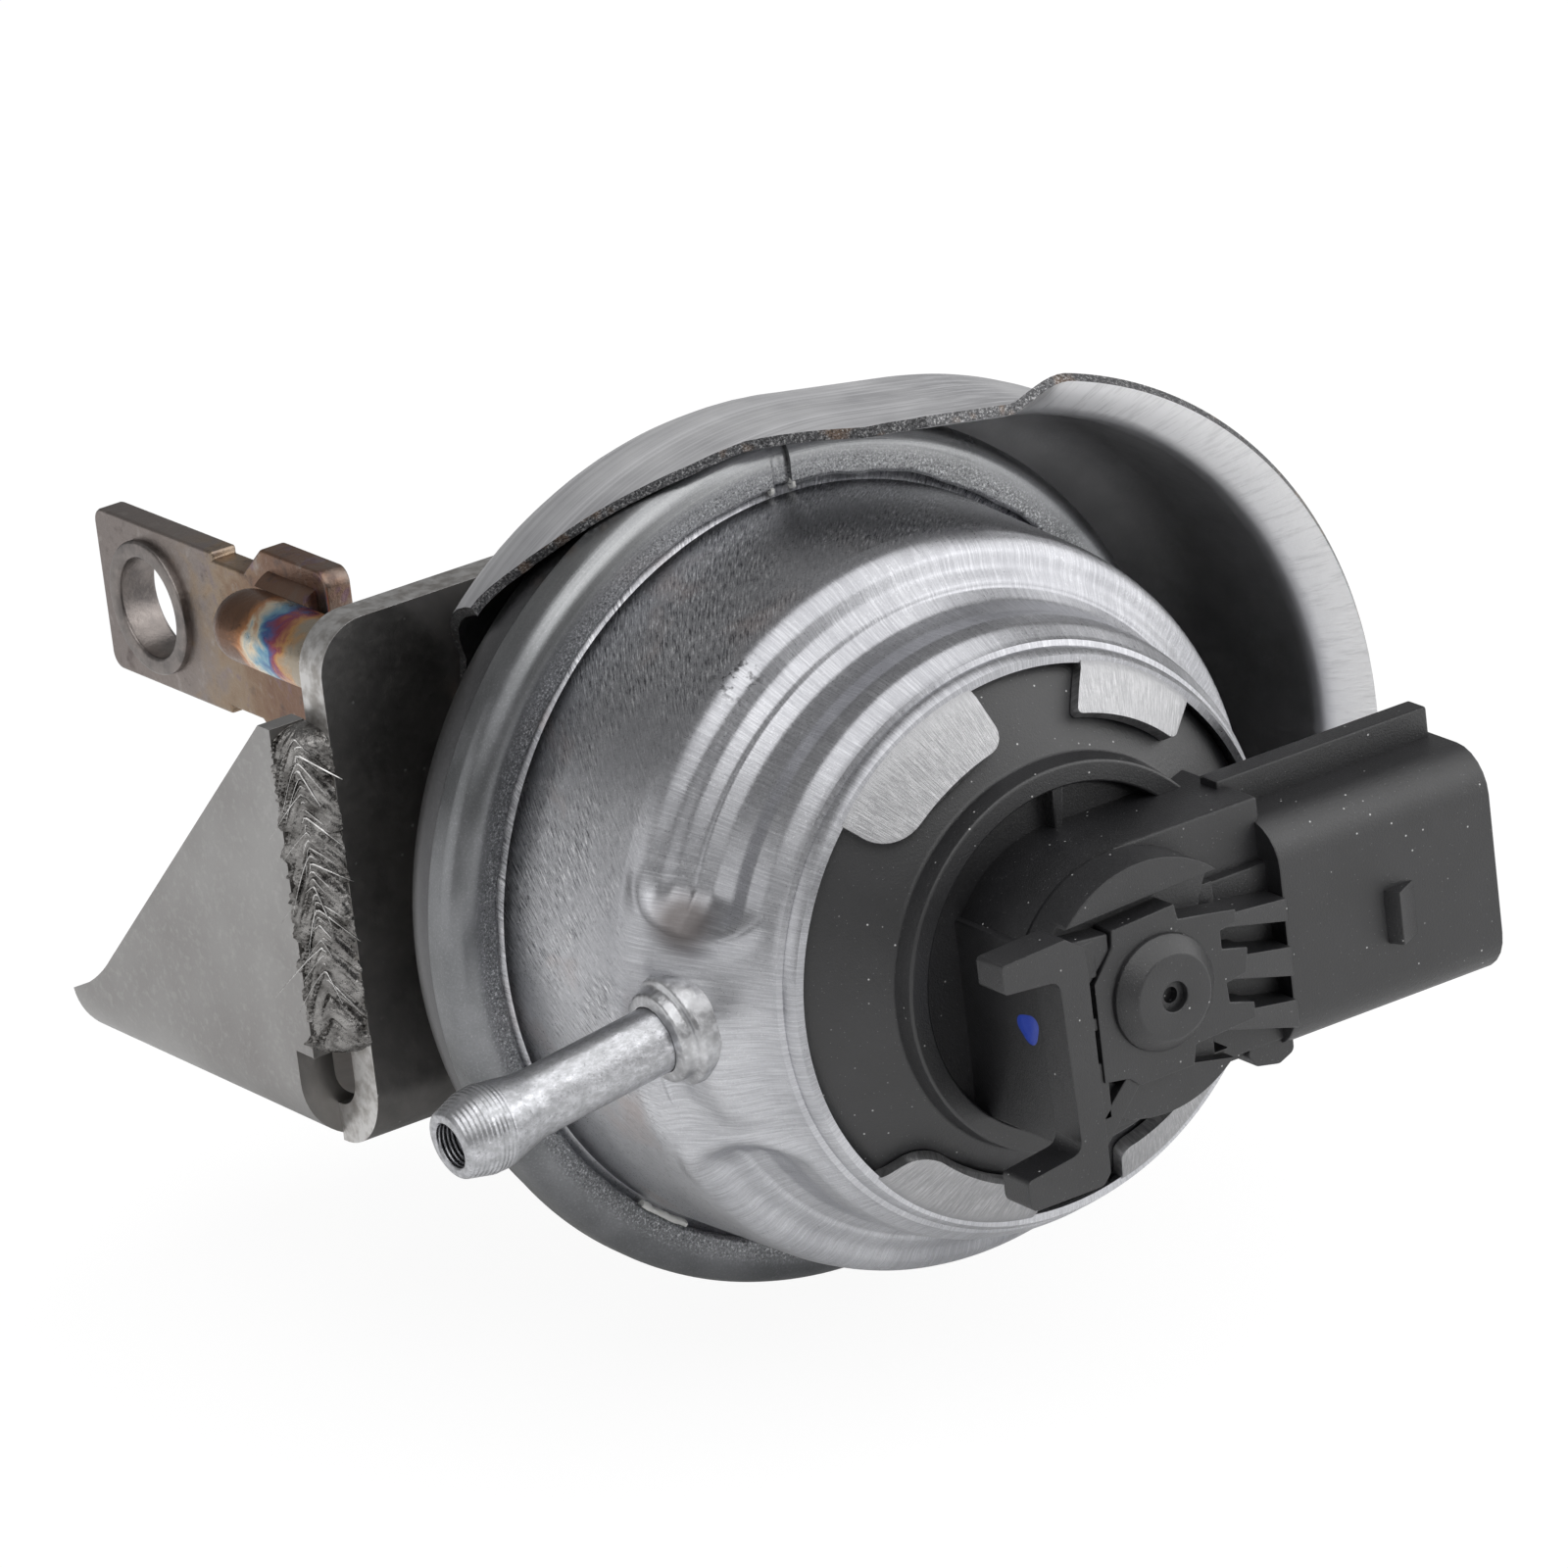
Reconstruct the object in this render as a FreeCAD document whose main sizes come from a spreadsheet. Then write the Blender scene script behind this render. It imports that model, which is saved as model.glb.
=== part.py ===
import FreeCAD, Part
import math
import os

import Sketcher
from FreeCAD import Placement, Rotation, Vector

# A vacuum wastegate actuator with a position sensor on its front.
# The can's axis runs along Y: the sensor faces -Y and the rod leaves at +Y.
# Every piece is drawn from the can's axis at the crimp ring's front face.
# One placement then moves it to the bolt pattern under the bracket's base flange.

SIZES = {
    # Crimp ring
    "ring_lip_gap": 0.6,
    "ring_flange_gap": 0.85,
    "ring_wall": 1.1,
    "ring_bend": 2.1,
    "ring_length": 3.8,
    "ring_split_gap": 1.7,
    "seat_gap": 0.05,
    "bore_fit": 0.02,
    # Can shells
    "flange_width": 2.4,
    "flange_sheet": 0.9,
    "flange_bend": 0.6,
    "can_wall": 1.1,
    "barrel_root_radius": 28.2,
    "barrel_taper": 0.6,
    "barrel_length": 13.0,
    "shoulder_length": 2.9,
    "shoulder_width": 1.2,
    "shoulder_bend": 4.5,
    "cone_bend": 5.0,
    "step_length": 3.4,
    "step_width": 3.2,
    "riser_width": 1.5,
    "nose_width": 1.1,
    "nose_root_width": 1.5,
    "nose_root_length": 7.8,
    "nose_length": 11.7,
    "lip_width": 0.85,
    "lip_step": 0.3,
    "lip_bend": 0.6,
    "lip_length": 13.1,
    "seat_side_gap": 0.15,
    "seat_margin": 0.55,
    "seat_face_gap": 0.1,
    "ledge_sheet": 1.2,
    "ledge_width": 4.4,
    "step_sweep": 315.0,
    "step_centre_angle": 4.5,
    "rear_dome_radius": 8.0,
    "rear_dome_angle": 60.0,
    "rear_shoulder_length": 0.85,
    "rear_inset": 0.4,
    "rear_flange_gap": 0.8,
    "rear_flat_radius": 20.06,
    "rear_face": 16.3,
    # Bent tabs over the sensor
    "tab_sheet": 1.0,
    "tab_reach": 3.95,
    "tab_gap": 0.05,
    "tab_wide_sweep": 40.0,
    "tab_wide_high_angle": 119.0,
    "tab_wide_low_angle": 240.2,
    "tab_narrow_sweep": 31.0,
    "tab_narrow_high_angle": 58.3,
    "tab_narrow_low_angle": 300.0,
    # Heat shield
    "shield_sheet": 0.8,
    "shield_gap": 0.95,
    "shield_narrowing": 1.7,
    "shield_offset": 10.6,
    "shield_front": 4.5,
    "shield_corner": 8.5,
    "shield_flare": 2.8,
    "shield_flare_rise": 3.0,
    "shield_flare_sweep": 230.0,
    "shield_trim_slope": 0.49,
    "shield_trim_centre": 2.8,
    "shield_trim_end": 14.0,
    "shield_left_end": 19.0,
    "shield_left_top": 17.7,
    "shield_left_slope": 0.93,
    "shield_low_end": 18.0,
    # Mounting bracket
    "bracket_sheet": 3.0,
    "wall_left": 30.4,
    "wall_right": 22.0,
    "wall_top": 22.8,
    "wall_corner": 4.0,
    "base_drop": 18.6,
    "base_reach": 55.1,
    "fold_inner_radius": 2.5,
    "gusset_top": 15.3,
    "gusset_bend": 16.0,
    "gusset_slope_end": 48.7,
    "gusset_slope_height": 9.8,
    "gusset_toe_height": 4.8,
    "relief_end": 22.9,
    "relief_top": 10.5,
    "bolt_hole_radius": 3.3,
    "bolt_spacing": 30.0,
    "bolt_centre_x": -5.0,
    "bolt_row": 42.0,
    "weld_arc_radius": 2.9,
    "weld_low": 10.0,
    # Studs and nuts that hold the can to the bracket
    "stud_radius": 3.0,
    "stud_hole_radius": 3.2,
    "stud_offset": 14.5,
    "stud_head_radius": 4.6,
    "stud_head": 1.0,
    "stud_reach": 28.0,
    "nut_flats": 10.0,
    "nut_height": 5.0,
    "nut_flange": 1.2,
    "nut_flange_radius": 6.4,
    # Rod, link and guide
    "rod_radius": 3.0,
    "rod_end": 81.8,
    "rod_collar_radius": 5.2,
    "rod_collar": 1.3,
    "guide_clearance": 0.04,
    "guide_radius": 5.2,
    "guide_flange_radius": 7.6,
    "guide_flange": 1.8,
    "guide_end": 19.2,
    "wiper_radius": 5.6,
    "wiper_length": 2.4,
    "frame_hole_radius": 7.6,
    "link_sheet": 2.4,
    "link_start": 71.8,
    "link_neck_start": 84.2,
    "link_neck_end": 88.8,
    "link_end": 106.7,
    "link_inner_height": 17.6,
    "link_step_run": 3.0,
    "link_corner": 1.3,
    "link_outer_height": 13.7,
    "link_neck_height": 12.4,
    "eye_centre": 99.0,
    "eye_reach": 0.9,
    "eye_hole_radius": 4.15,
    "eye_seat_radius": 4.95,
    "eye_rim_radius": 5.6,
    "eye_rim": 0.7,
    "link_weld_leg": 3.4,
    "link_drop": 3.8,
    # Vacuum nipple
    "nipple_radius": 2.5,
    "nipple_bulb_radius": 3.25,
    "nipple_bore_radius": 1.72,
    "nipple_setback": 4.1,
    "nipple_height": 2.5,
    "nipple_slope": 7.5,
    "nipple_insert": 5.2,
    "nipple_reach": 18.1,
    "nipple_bulb_length": 7.0,
    "nipple_barb": 3.6,
    "nipple_mouth_step": 1.0,
    "collar_radius": 4.0,
    "collar_rise": 0.3,
    # Diaphragm group
    "rubber": 0.9,
    "roll_width": 8.0,
    "piston_sheet": 1.2,
    "piston_face": 7.5,
    "piston_rim": 5.0,
    "washer_radius": 12.0,
    "washer_sheet": 1.2,
    "rod_nut_height": 4.0,
    "rod_nut_flats": 8.0,
    "rod_tip_gap": 0.5,
    "rod_thread_radius": 2.5,
    "spring_inset": 2.6,
    "spring_wire_radius": 1.05,
    "spring_turns": 4.5,
    # Position sensor
    "sensor_flange_back": 23.1,
    "sensor_flange_rim": 2.1,
    "sensor_foot": 28.8,
    "sensor_flank": 5.75,
    "sensor_ring_wall": 1.7,
    "sensor_ring_draft": 0.15,
    "sensor_ring_face": 30.7,
    "hub_gap": 3.0,
    "hub_draft": 0.3,
    "hub_face": 40.0,
    "block_face": 36.5,
    "block_top": 9.7,
    "block_left": 8.7,
    "block_low": 9.6,
    "block_high": 5.4,
    "bridge_face": 40.2,
    "bridge_low": 7.2,
    "bridge_high": 5.6,
    "plate_face": 41.0,
    "plate_sheet": 1.5,
    "dome_radius": 4.5,
    "dome_top_radius": 3.1,
    "dome_height": 1.0,
    "dome_hole_radius": 0.75,
    "bar_face": 42.3,
    "bar_sheet": 2.5,
    "bar_width": 2.4,
    "bar_right": 6.3,
    "bar_top": 6.6,
    "bar_bottom": 12.0,
    "hook_reach": 13.2,
    "guide_tube_radius": 6.0,
    "guide_tube_back": 14.0,
    "plunger_bore_radius": 4.0,
    "plunger_bore_face": 37.4,
    "seal_section_radius": 0.9,
    "seal_inset": 2.05,
    "seal_gap": 0.02,
    # Connector
    "shell_left": 12.5,
    "shell_mouth": 31.5,
    "shell_back": 28.3,
    "shell_face": 39.0,
    "shell_top": 8.0,
    "shell_bottom": 9.3,
    "shell_corner": 3.3,
    "shell_wall": 1.7,
    "shell_depth": 15.0,
    "rail_top": 10.3,
    "rail_front": 33.2,
    "rail_width": 2.1,
    "latch_left": 22.7,
    "latch_right": 25.4,
    "latch_top": 0.8,
    "latch_low": 4.2,
    "latch_rise": 1.3,
    "pin_width": 0.8,
    "pin_pitch": 3.9,
    "pin_end": 25.5,
    "pin_fit": 0.02,
    "board_x": 5.4,
    "board_sheet": 1.2,
    "board_width": 10.0,
    "board_back": 30.0,
    "board_front": 38.0,
    # Plunger
    "plunger_fit": 0.05,
    "plunger_front": 24.0,
    "plunger_foot": 4.0,
    "plunger_foot_radius": 2.4,
    "plunger_neck_radius": 3.0,
    "plunger_hollow_radius": 2.3,
    "magnet_length": 3.0,
    "plunger_coil_radius": 1.8,
    "plunger_wire_radius": 0.3,
    "plunger_turns": 9.0,
}


class Size:
    """A length or an angle: its value, and the formula on the sheet that it follows."""

    def __init__(self, value, text):
        self.value = value
        self.text = text

    def join(self, other, sign, swapped=False):
        other = as_size(other)
        first, second = (other, self) if swapped else (self, other)
        results = {"+": first.value + second.value, "-": first.value - second.value,
                   "*": first.value * second.value}
        value = first.value / second.value if sign == "/" else results[sign]
        return Size(value, "(%s %s %s)" % (first.text, sign, second.text))

    def __add__(self, other):
        return self.join(other, "+")

    def __radd__(self, other):
        return self.join(other, "+", True)

    def __sub__(self, other):
        return self.join(other, "-")

    def __rsub__(self, other):
        return self.join(other, "-", True)

    def __mul__(self, other):
        return self.join(other, "*")

    def __rmul__(self, other):
        return self.join(other, "*", True)

    def __truediv__(self, other):
        return self.join(other, "/")

    def __neg__(self):
        return 0.0 - self


def as_size(number):
    return number if isinstance(number, Size) else Size(float(number), "%.6g" % number)


def sine(degrees):
    angle = as_size(degrees)
    return Size(math.sin(math.radians(angle.value)), "sin(%s)" % angle.text)


def cosine(degrees):
    angle = as_size(degrees)
    return Size(math.cos(math.radians(angle.value)), "cos(%s)" % angle.text)


def square_root(number):
    return Size(math.sqrt(number.value), "sqrt(%s)" % number.text)


def write_sheet(doc):
    """Put every driving dimension in the sheet and return them by name."""
    sheet = doc.addObject("Spreadsheet::Sheet", "Sizes")
    named = {}
    for row, (name, value) in enumerate(SIZES.items(), start=1):
        sheet.set("A%d" % row, name)
        sheet.set("B%d" % row, str(value))
        sheet.setAlias("B%d" % row, name)
        named[name] = Size(float(value), "Sizes." + name)
    doc.recompute()
    return named


class Piece:
    """One body of the document, with short calls for its sketches and features."""

    def __init__(self, doc, label, home):
        self.doc = doc
        self.body = doc.addObject("PartDesign::Body", "Body_" + label)
        self.body.Label = label
        place(self.body, home)
        self.count = 0

    def plane(self, role):
        return [part for part in self.body.Origin.OriginFeatures if part.Role == role][0]

    def name(self, kind):
        self.count += 1
        return "%s_%s_%d" % (self.body.Label, kind, self.count)

    def sketch(self, role, offset=0.0, turn=0.0):
        """Attach a sketch to an origin plane, moved along its normal and turned about its own y."""
        sketch = self.body.newObject("Sketcher::SketchObject", self.name("sketch"))
        sketch.AttachmentSupport = [(self.plane(role), "")]
        sketch.MapMode = "FlatFace"
        offset = as_size(offset)
        turn = as_size(turn)
        tilt = Rotation(Vector(0, 1, 0), turn.value)
        sketch.AttachmentOffset = Placement(Vector(0, 0, offset.value), tilt)
        if offset.value:
            sketch.setExpression("AttachmentOffset.Base.z", offset.text)
        if turn.value:
            sketch.setExpression("AttachmentOffset.Rotation.Angle", turn.text)
        return sketch

    def feature(self, kind, sketch, **values):
        feature = self.body.newObject("PartDesign::" + kind, self.name(kind.lower()))
        feature.Profile = sketch
        for key, value in values.items():
            if isinstance(value, Size):
                setattr(feature, key, value.value)
                feature.setExpression(key, value.text)
            else:
                setattr(feature, key, value)
        sketch.Visibility = False
        self.doc.recompute()
        return feature

    def turned(self, points, arcs=None, cut=False, sweep=360.0, centre=0.0):
        """Revolve a closed section of (radius, y) points about the Y axis."""
        sketch = self.sketch("XY_Plane", turn=-as_size(centre))
        draw_outline(sketch, points, arcs)
        kind = "Groove" if cut else "Revolution"
        return self.feature(kind, sketch, ReferenceAxis=(sketch, ["V_Axis"]), Angle=as_size(sweep),
                            Midplane=True)

    def extruded(self, role, points, start, length, arcs=None, cut=False):
        """Pad or pocket a closed outline from start, along the plane's normal, by length."""
        sketch = self.sketch(role, start)
        draw_outline(sketch, points, arcs)
        return self.push(sketch, length, cut)

    def round_bar(self, role, centre, radius, start, length, cut=False):
        sketch = self.sketch(role, start)
        draw_circle(sketch, centre, radius)
        return self.push(sketch, length, cut)

    def push(self, sketch, length, cut):
        if cut:
            return self.feature("Pocket", sketch, Length=as_size(length), Reversed=True)
        return self.feature("Pad", sketch, Length=as_size(length))

    def dressed(self, kind, size, wanted):
        """Fillet or chamfer the edges that the wanted() test picks."""
        base = self.body.Tip
        names = ["Edge%d" % (i + 1) for i, edge in enumerate(base.Shape.Edges) if wanted(edge)]
        feature = self.body.newObject("PartDesign::" + kind, self.name(kind.lower()))
        feature.Base = (base, names)
        size = as_size(size)
        key = "Radius" if kind == "Fillet" else "Size"
        setattr(feature, key, size.value)
        feature.setExpression(key, size.text)
        base.Visibility = False
        self.doc.recompute()
        return feature


def place(thing, home):
    """Give a piece the placement that carries the can's frame to the bolt pattern."""
    thing.Placement = Placement(Vector(*[part.value for part in home]), Rotation())
    for axis, part in zip("xyz", home):
        thing.setExpression("Placement.Base." + axis, part.text)


def vertex_at(sketch, index, point):
    """The end of a sketch edge, 1 or 2, that lies at a point."""
    gaps = [(sketch.getPoint(index, end) - point).Length for end in (1, 2)]
    return 1 if gaps[0] <= gaps[1] else 2


def pin_point(sketch, index, end, x, y):
    for kind, size in (("DistanceX", x), ("DistanceY", y)):
        row = sketch.addConstraint(Sketcher.Constraint(kind, -1, 1, index, end, size.value))
        sketch.setExpression("Constraints[%d]" % row, size.text)


def arc_middle(start, end, radius):
    """The middle of the short arc between two points: a positive radius curves to the left."""
    chord = end - start
    half = chord.Length / 2
    side = Vector(-chord.y, chord.x, 0).normalize()
    bulge = abs(radius) - math.sqrt(max(radius * radius - half * half, 0.0))
    return (start + end) * 0.5 - side * bulge * math.copysign(1.0, radius)


def draw_outline(sketch, points, arcs=None):
    """Draw a closed outline whose corners follow the sheet; arcs maps a side to its radius."""
    arcs = arcs or {}
    corners = [(as_size(x), as_size(y)) for x, y in points]
    spots = [Vector(x.value, y.value, 0) for x, y in corners]
    total = len(spots)
    for i in range(total):
        start = spots[i]
        end = spots[(i + 1) % total]
        if i in arcs:
            middle = arc_middle(start, end, as_size(arcs[i]).value)
            sketch.addGeometry(Part.Arc(start, middle, end), False)
        else:
            sketch.addGeometry(Part.LineSegment(start, end), False)
    for i in range(total):
        before = (i - 1) % total
        own = vertex_at(sketch, i, spots[i])
        other = vertex_at(sketch, before, spots[i])
        sketch.addConstraint(Sketcher.Constraint("Coincident", before, other, i, own))
        pin_point(sketch, i, own, corners[i][0], corners[i][1])
    for i, radius in arcs.items():
        size = as_size(radius)
        row = sketch.addConstraint(Sketcher.Constraint("Radius", i, abs(size.value)))
        sketch.setExpression("Constraints[%d]" % row, "abs(%s)" % size.text)


def draw_circle(sketch, centre, radius):
    x, y = (as_size(part) for part in centre)
    radius = as_size(radius)
    circle = Part.Circle(Vector(x.value, y.value, 0), Vector(0, 0, 1), radius.value)
    index = sketch.addGeometry(circle, False)
    pin_point(sketch, index, 3, x, y)
    row = sketch.addConstraint(Sketcher.Constraint("Radius", index, radius.value))
    sketch.setExpression("Constraints[%d]" % row, radius.text)


def box_corners(left, right, low, high):
    return [(left, low), (right, low), (right, high), (left, high)]


def at_corner(edge, axis, spot, reach=0.05):
    """True for a straight edge along an axis whose middle has the coordinates in spot."""
    ends = [vertex.Point for vertex in edge.Vertexes]
    if len(ends) != 2 or edge.Curve.TypeId != "Part::GeomLine":
        return False
    run = ends[1] - ends[0]
    if abs(getattr(run.normalize(), axis)) < 0.999:
        return False
    middle = (ends[0] + ends[1]) * 0.5
    return all(abs(getattr(middle, key) - as_size(want).value) < reach for key, want in spot.items())


def fitted(d):
    """Add the radii and levels that follow from their neighbours."""
    root = d["barrel_root_radius"]
    d["ring_lip_radius"] = root + d["ring_lip_gap"]
    d["flange_radius"] = root + d["flange_width"]
    d["ring_outer_radius"] = d["flange_radius"] + d["ring_flange_gap"] + d["ring_wall"]
    d["barrel_front_radius"] = root - d["barrel_taper"]
    d["step_face"] = d["barrel_length"] + d["step_length"]
    d["step_radius"] = d["barrel_front_radius"] - d["step_width"]
    d["riser_radius"] = d["step_radius"] - d["riser_width"]
    d["nose_radius"] = d["riser_radius"] - d["nose_width"]
    d["nose_start"] = d["barrel_length"] + d["nose_root_length"]
    d["nose_face"] = d["barrel_length"] + d["nose_length"]
    d["lip_radius"] = d["nose_radius"] - d["lip_width"]
    d["lip_face"] = d["barrel_length"] + d["lip_length"]
    d["seat_radius"] = d["lip_radius"] - d["seat_margin"]
    d["sensor_flange_radius"] = d["seat_radius"] - d["seat_side_gap"]
    d["sensor_flange_edge"] = d["sensor_flange_back"] + d["sensor_flange_rim"]
    d["sensor_ring_radius"] = d["sensor_flange_radius"] - d["sensor_flank"]
    d["sensor_ring_bore"] = d["sensor_ring_radius"] - d["sensor_ring_wall"]
    d["hub_base_radius"] = d["sensor_ring_bore"] - d["hub_gap"]
    d["hub_radius"] = d["hub_base_radius"] - d["hub_draft"]
    d["ledge_bore"] = d["seat_radius"] - d["ledge_width"]
    d["tab_tip_radius"] = d["sensor_flange_radius"] - d["tab_reach"]
    d["seal_circle_radius"] = d["sensor_flange_radius"] - d["seal_inset"]
    d["shield_left_radius"] = d["ring_outer_radius"] + d["shield_gap"]
    d["shield_right_radius"] = d["shield_left_radius"] - d["shield_narrowing"]
    d["nipple_axial"] = d["barrel_length"] + d["nipple_setback"]
    d["nipple_root"] = d["barrel_front_radius"] - d["nipple_insert"]
    d["nipple_tip"] = d["barrel_front_radius"] + d["nipple_reach"]
    d["collar_end"] = d["barrel_front_radius"] + d["collar_rise"]
    d["piston_radius"] = root - d["roll_width"]
    d["spring_coil_radius"] = d["piston_radius"] - d["spring_inset"]


def levels(d):
    """The y of each face in the clamped stack and in the stack on the rod."""
    front = d["ring_wall"] + d["seat_gap"]
    rubber = front + d["flange_sheet"]
    lower = rubber + d["rubber"]
    piston_back = d["piston_face"] + d["piston_sheet"]
    rubber_back = piston_back + d["rubber"]
    washer_back = rubber_back + d["washer_sheet"]
    shield = d["rear_face"] + d["seat_gap"]
    wall = shield + d["shield_sheet"] + d["seat_gap"]
    return {"flange": front, "rubber": rubber, "lower": lower, "piston_back": piston_back,
            "rubber_back": rubber_back, "washer_back": washer_back,
            "rod_tip": d["piston_face"] - d["rod_nut_height"] - d["rod_tip_gap"],
            "shield": shield, "wall": wall, "wall_back": wall + d["bracket_sheet"],
            "can_inside": d["rear_face"] - d["can_wall"]}


def make_crimp_ring(doc, d, home):
    """The rolled ring that clamps both can flanges, split at the top."""
    ring = Piece(doc, "crimp_ring", home)
    outer = d["ring_outer_radius"]
    wall = d["ring_wall"]
    nose = d["ring_bend"]
    ring.turned([(d["ring_lip_radius"], 0.0), (outer - nose, 0.0), (outer, nose), (outer, d["ring_length"]),
                 (outer - wall, d["ring_length"]), (outer - wall, nose), (outer - nose, wall),
                 (d["ring_lip_radius"], wall)],
                arcs={1: nose, 5: wall - nose})
    half = d["ring_split_gap"] / 2
    ring.extruded("XY_Plane", box_corners(-half, half, -1.0, d["ring_length"] + 1.0),
                  d["ring_lip_radius"] - 2.0, outer - d["ring_lip_radius"] + 4.0, cut=True)
    return ring.body


def can_skin(d):
    """The outside of the front can as drawn, from its flange to the front lip."""
    front = levels(d)["flange"]
    root = d["barrel_root_radius"]
    bend = d["flange_bend"]
    return [(d["flange_radius"], front), (root + bend, front), (root, front - bend),
            (d["barrel_front_radius"], -d["barrel_length"]),
            (d["barrel_front_radius"] - d["shoulder_width"], -d["barrel_length"] - d["shoulder_length"]),
            (d["nose_radius"] + d["nose_root_width"], -d["nose_start"]), (d["nose_radius"], -d["nose_face"]),
            (d["nose_radius"] - d["lip_step"], -d["nose_face"]),
            (d["nose_radius"] - d["lip_step"], d["lip_bend"] - d["lip_face"]),
            (d["lip_radius"], -d["lip_face"])]


def skin_arcs(d):
    """The radius of each bend along the skin."""
    return {1: -d["flange_bend"], 3: d["shoulder_bend"], 5: d["cone_bend"], 8: d["lip_bend"] * 1.3}


def nipple_turned(piece, d, points, arcs=None, cut=False):
    """Revolve a section of (radius, reach) points about the nipple's sloping axis."""
    sketch = piece.sketch("XZ_Plane", d["nipple_axial"])
    turn = 90.0 + d["nipple_slope"]
    sketch.AttachmentOffset = Placement(Vector(0, d["nipple_height"].value, d["nipple_axial"].value),
                                        Rotation(Vector(0, 0, 1), turn.value))
    sketch.setExpression("AttachmentOffset.Base.y", d["nipple_height"].text)
    sketch.setExpression("AttachmentOffset.Rotation.Angle", turn.text)
    draw_outline(sketch, points, arcs)
    kind = "Groove" if cut else "Revolution"
    return piece.feature(kind, sketch, ReferenceAxis=(sketch, ["V_Axis"]), Angle=as_size(360.0),
                         Midplane=True)


def make_upper_can(doc, d, home):
    """The front can: a pressed shell with a step, a bored ledge, and four tabs bent over the sensor."""
    can = Piece(doc, "upper_can", home)
    at = levels(d)
    wall = d["can_wall"]
    seat = d["seat_radius"]
    ledge = d["sensor_flange_back"] - d["seat_face_gap"]
    riser_inner = d["riser_radius"] - wall * 1.5
    inner = [(seat, -d["lip_face"]), (seat, -ledge), (d["ledge_bore"], -ledge),
             (d["ledge_bore"], d["ledge_sheet"] - ledge), (riser_inner, d["ledge_sheet"] - ledge),
             (d["step_radius"] - wall, wall - d["step_face"]),
             (d["barrel_front_radius"] - wall * 1.5, wall * 1.2 - d["step_face"]),
             (d["barrel_front_radius"] - wall, -d["barrel_length"]),
             (d["barrel_root_radius"] - wall, at["flange"] - 1.0),
             (d["barrel_root_radius"] - wall + 1.0, at["rubber"]), (d["flange_radius"], at["rubber"])]
    can.turned(can_skin(d) + inner, arcs=skin_arcs(d))
    shoulder = d["barrel_front_radius"]
    can.turned([(d["step_radius"], -d["step_face"] - 0.2), (d["riser_radius"] + 0.5, -d["step_face"] - 1.5),
                (d["riser_radius"], 0.6 - d["nose_start"]), (d["nose_radius"] + 0.4, -d["nose_face"] + 1.2),
                (shoulder + 3.0, -d["nose_face"] + 1.2), (shoulder + 3.0, -d["barrel_length"] - 0.3),
                (shoulder - 0.02, -d["barrel_length"] - 0.3), (shoulder - 1.5, -d["step_face"] + 0.3)],
               arcs={0: -2.2, 6: 3.0}, cut=True, sweep=d["step_sweep"], centre=d["step_centre_angle"])
    lip = d["sensor_flange_edge"] + d["tab_gap"]
    flank = d["sensor_flange_radius"] - d["sensor_ring_radius"] - d["sensor_ring_draft"]
    drop = (d["sensor_foot"] - d["sensor_flange_edge"]) / flank
    tip = lip + (d["sensor_flange_radius"] - d["tab_tip_radius"]) * drop
    sheet = d["tab_sheet"] + 0.15
    for angle, sweep in (("tab_narrow_high_angle", "tab_narrow_sweep"),
                         ("tab_wide_high_angle", "tab_wide_sweep"),
                         ("tab_wide_low_angle", "tab_wide_sweep"),
                         ("tab_narrow_low_angle", "tab_narrow_sweep")):
        can.turned([(seat, -lip), (d["tab_tip_radius"], -tip), (d["tab_tip_radius"], -tip - sheet),
                    (seat - 0.6, -lip - sheet - 0.25), (d["lip_radius"], -d["lip_face"] + 0.1),
                    (d["lip_radius"], -lip)],
                   arcs={3: 2.4}, sweep=d[sweep], centre=d[angle])
    nipple_turned(can, d, box_corners(0.0, d["nipple_radius"] + d["bore_fit"], d["nipple_root"] - 4.0,
                                      d["collar_end"] + 4.0), cut=True)
    return can.body


def make_lower_can(doc, d, home):
    """The rear can: a domed shell with holes for the rod guide and the two studs."""
    can = Piece(doc, "lower_can", home)
    at = levels(d)
    outer = d["ring_outer_radius"] - d["rear_inset"]
    wall = d["can_wall"]
    bend = d["rear_dome_radius"]
    inner_bend = bend - wall
    shoulder = d["ring_length"] + d["seat_gap"]
    dome_y = shoulder + d["rear_shoulder_length"]
    rise = sine(d["rear_dome_angle"])
    cone = outer - bend * (1.0 - cosine(d["rear_dome_angle"]))
    flat = d["rear_flat_radius"]
    inner_cone = outer - bend + inner_bend * cosine(d["rear_dome_angle"])
    inner_flat = flat - wall * sine(15)
    guide = d["guide_radius"] + d["bore_fit"]
    seam = d["flange_radius"] + d["ring_flange_gap"] - 0.15
    throat = d["barrel_root_radius"] + d["rear_flange_gap"]
    can.turned([(guide, at["can_inside"]), (inner_flat, at["can_inside"]),
                (inner_cone, dome_y + inner_bend * rise), (outer - wall, dome_y),
                (outer - wall, shoulder + 0.1), (throat, shoulder - 0.1),
                (throat, at["lower"]), (seam, at["lower"]), (seam, shoulder),
                (outer, shoulder), (outer, dome_y), (cone, dome_y + bend * rise),
                (flat, d["rear_face"]), (guide, d["rear_face"])],
               arcs={2: -inner_bend, 10: bend})
    for side in (-1, 1):
        can.round_bar("XZ_Plane", (side * d["stud_offset"], 0.0), d["stud_radius"] + 0.02,
                      -d["rear_face"] - 1.0, d["can_wall"] + 2.0, cut=True)
    return can.body


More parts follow.
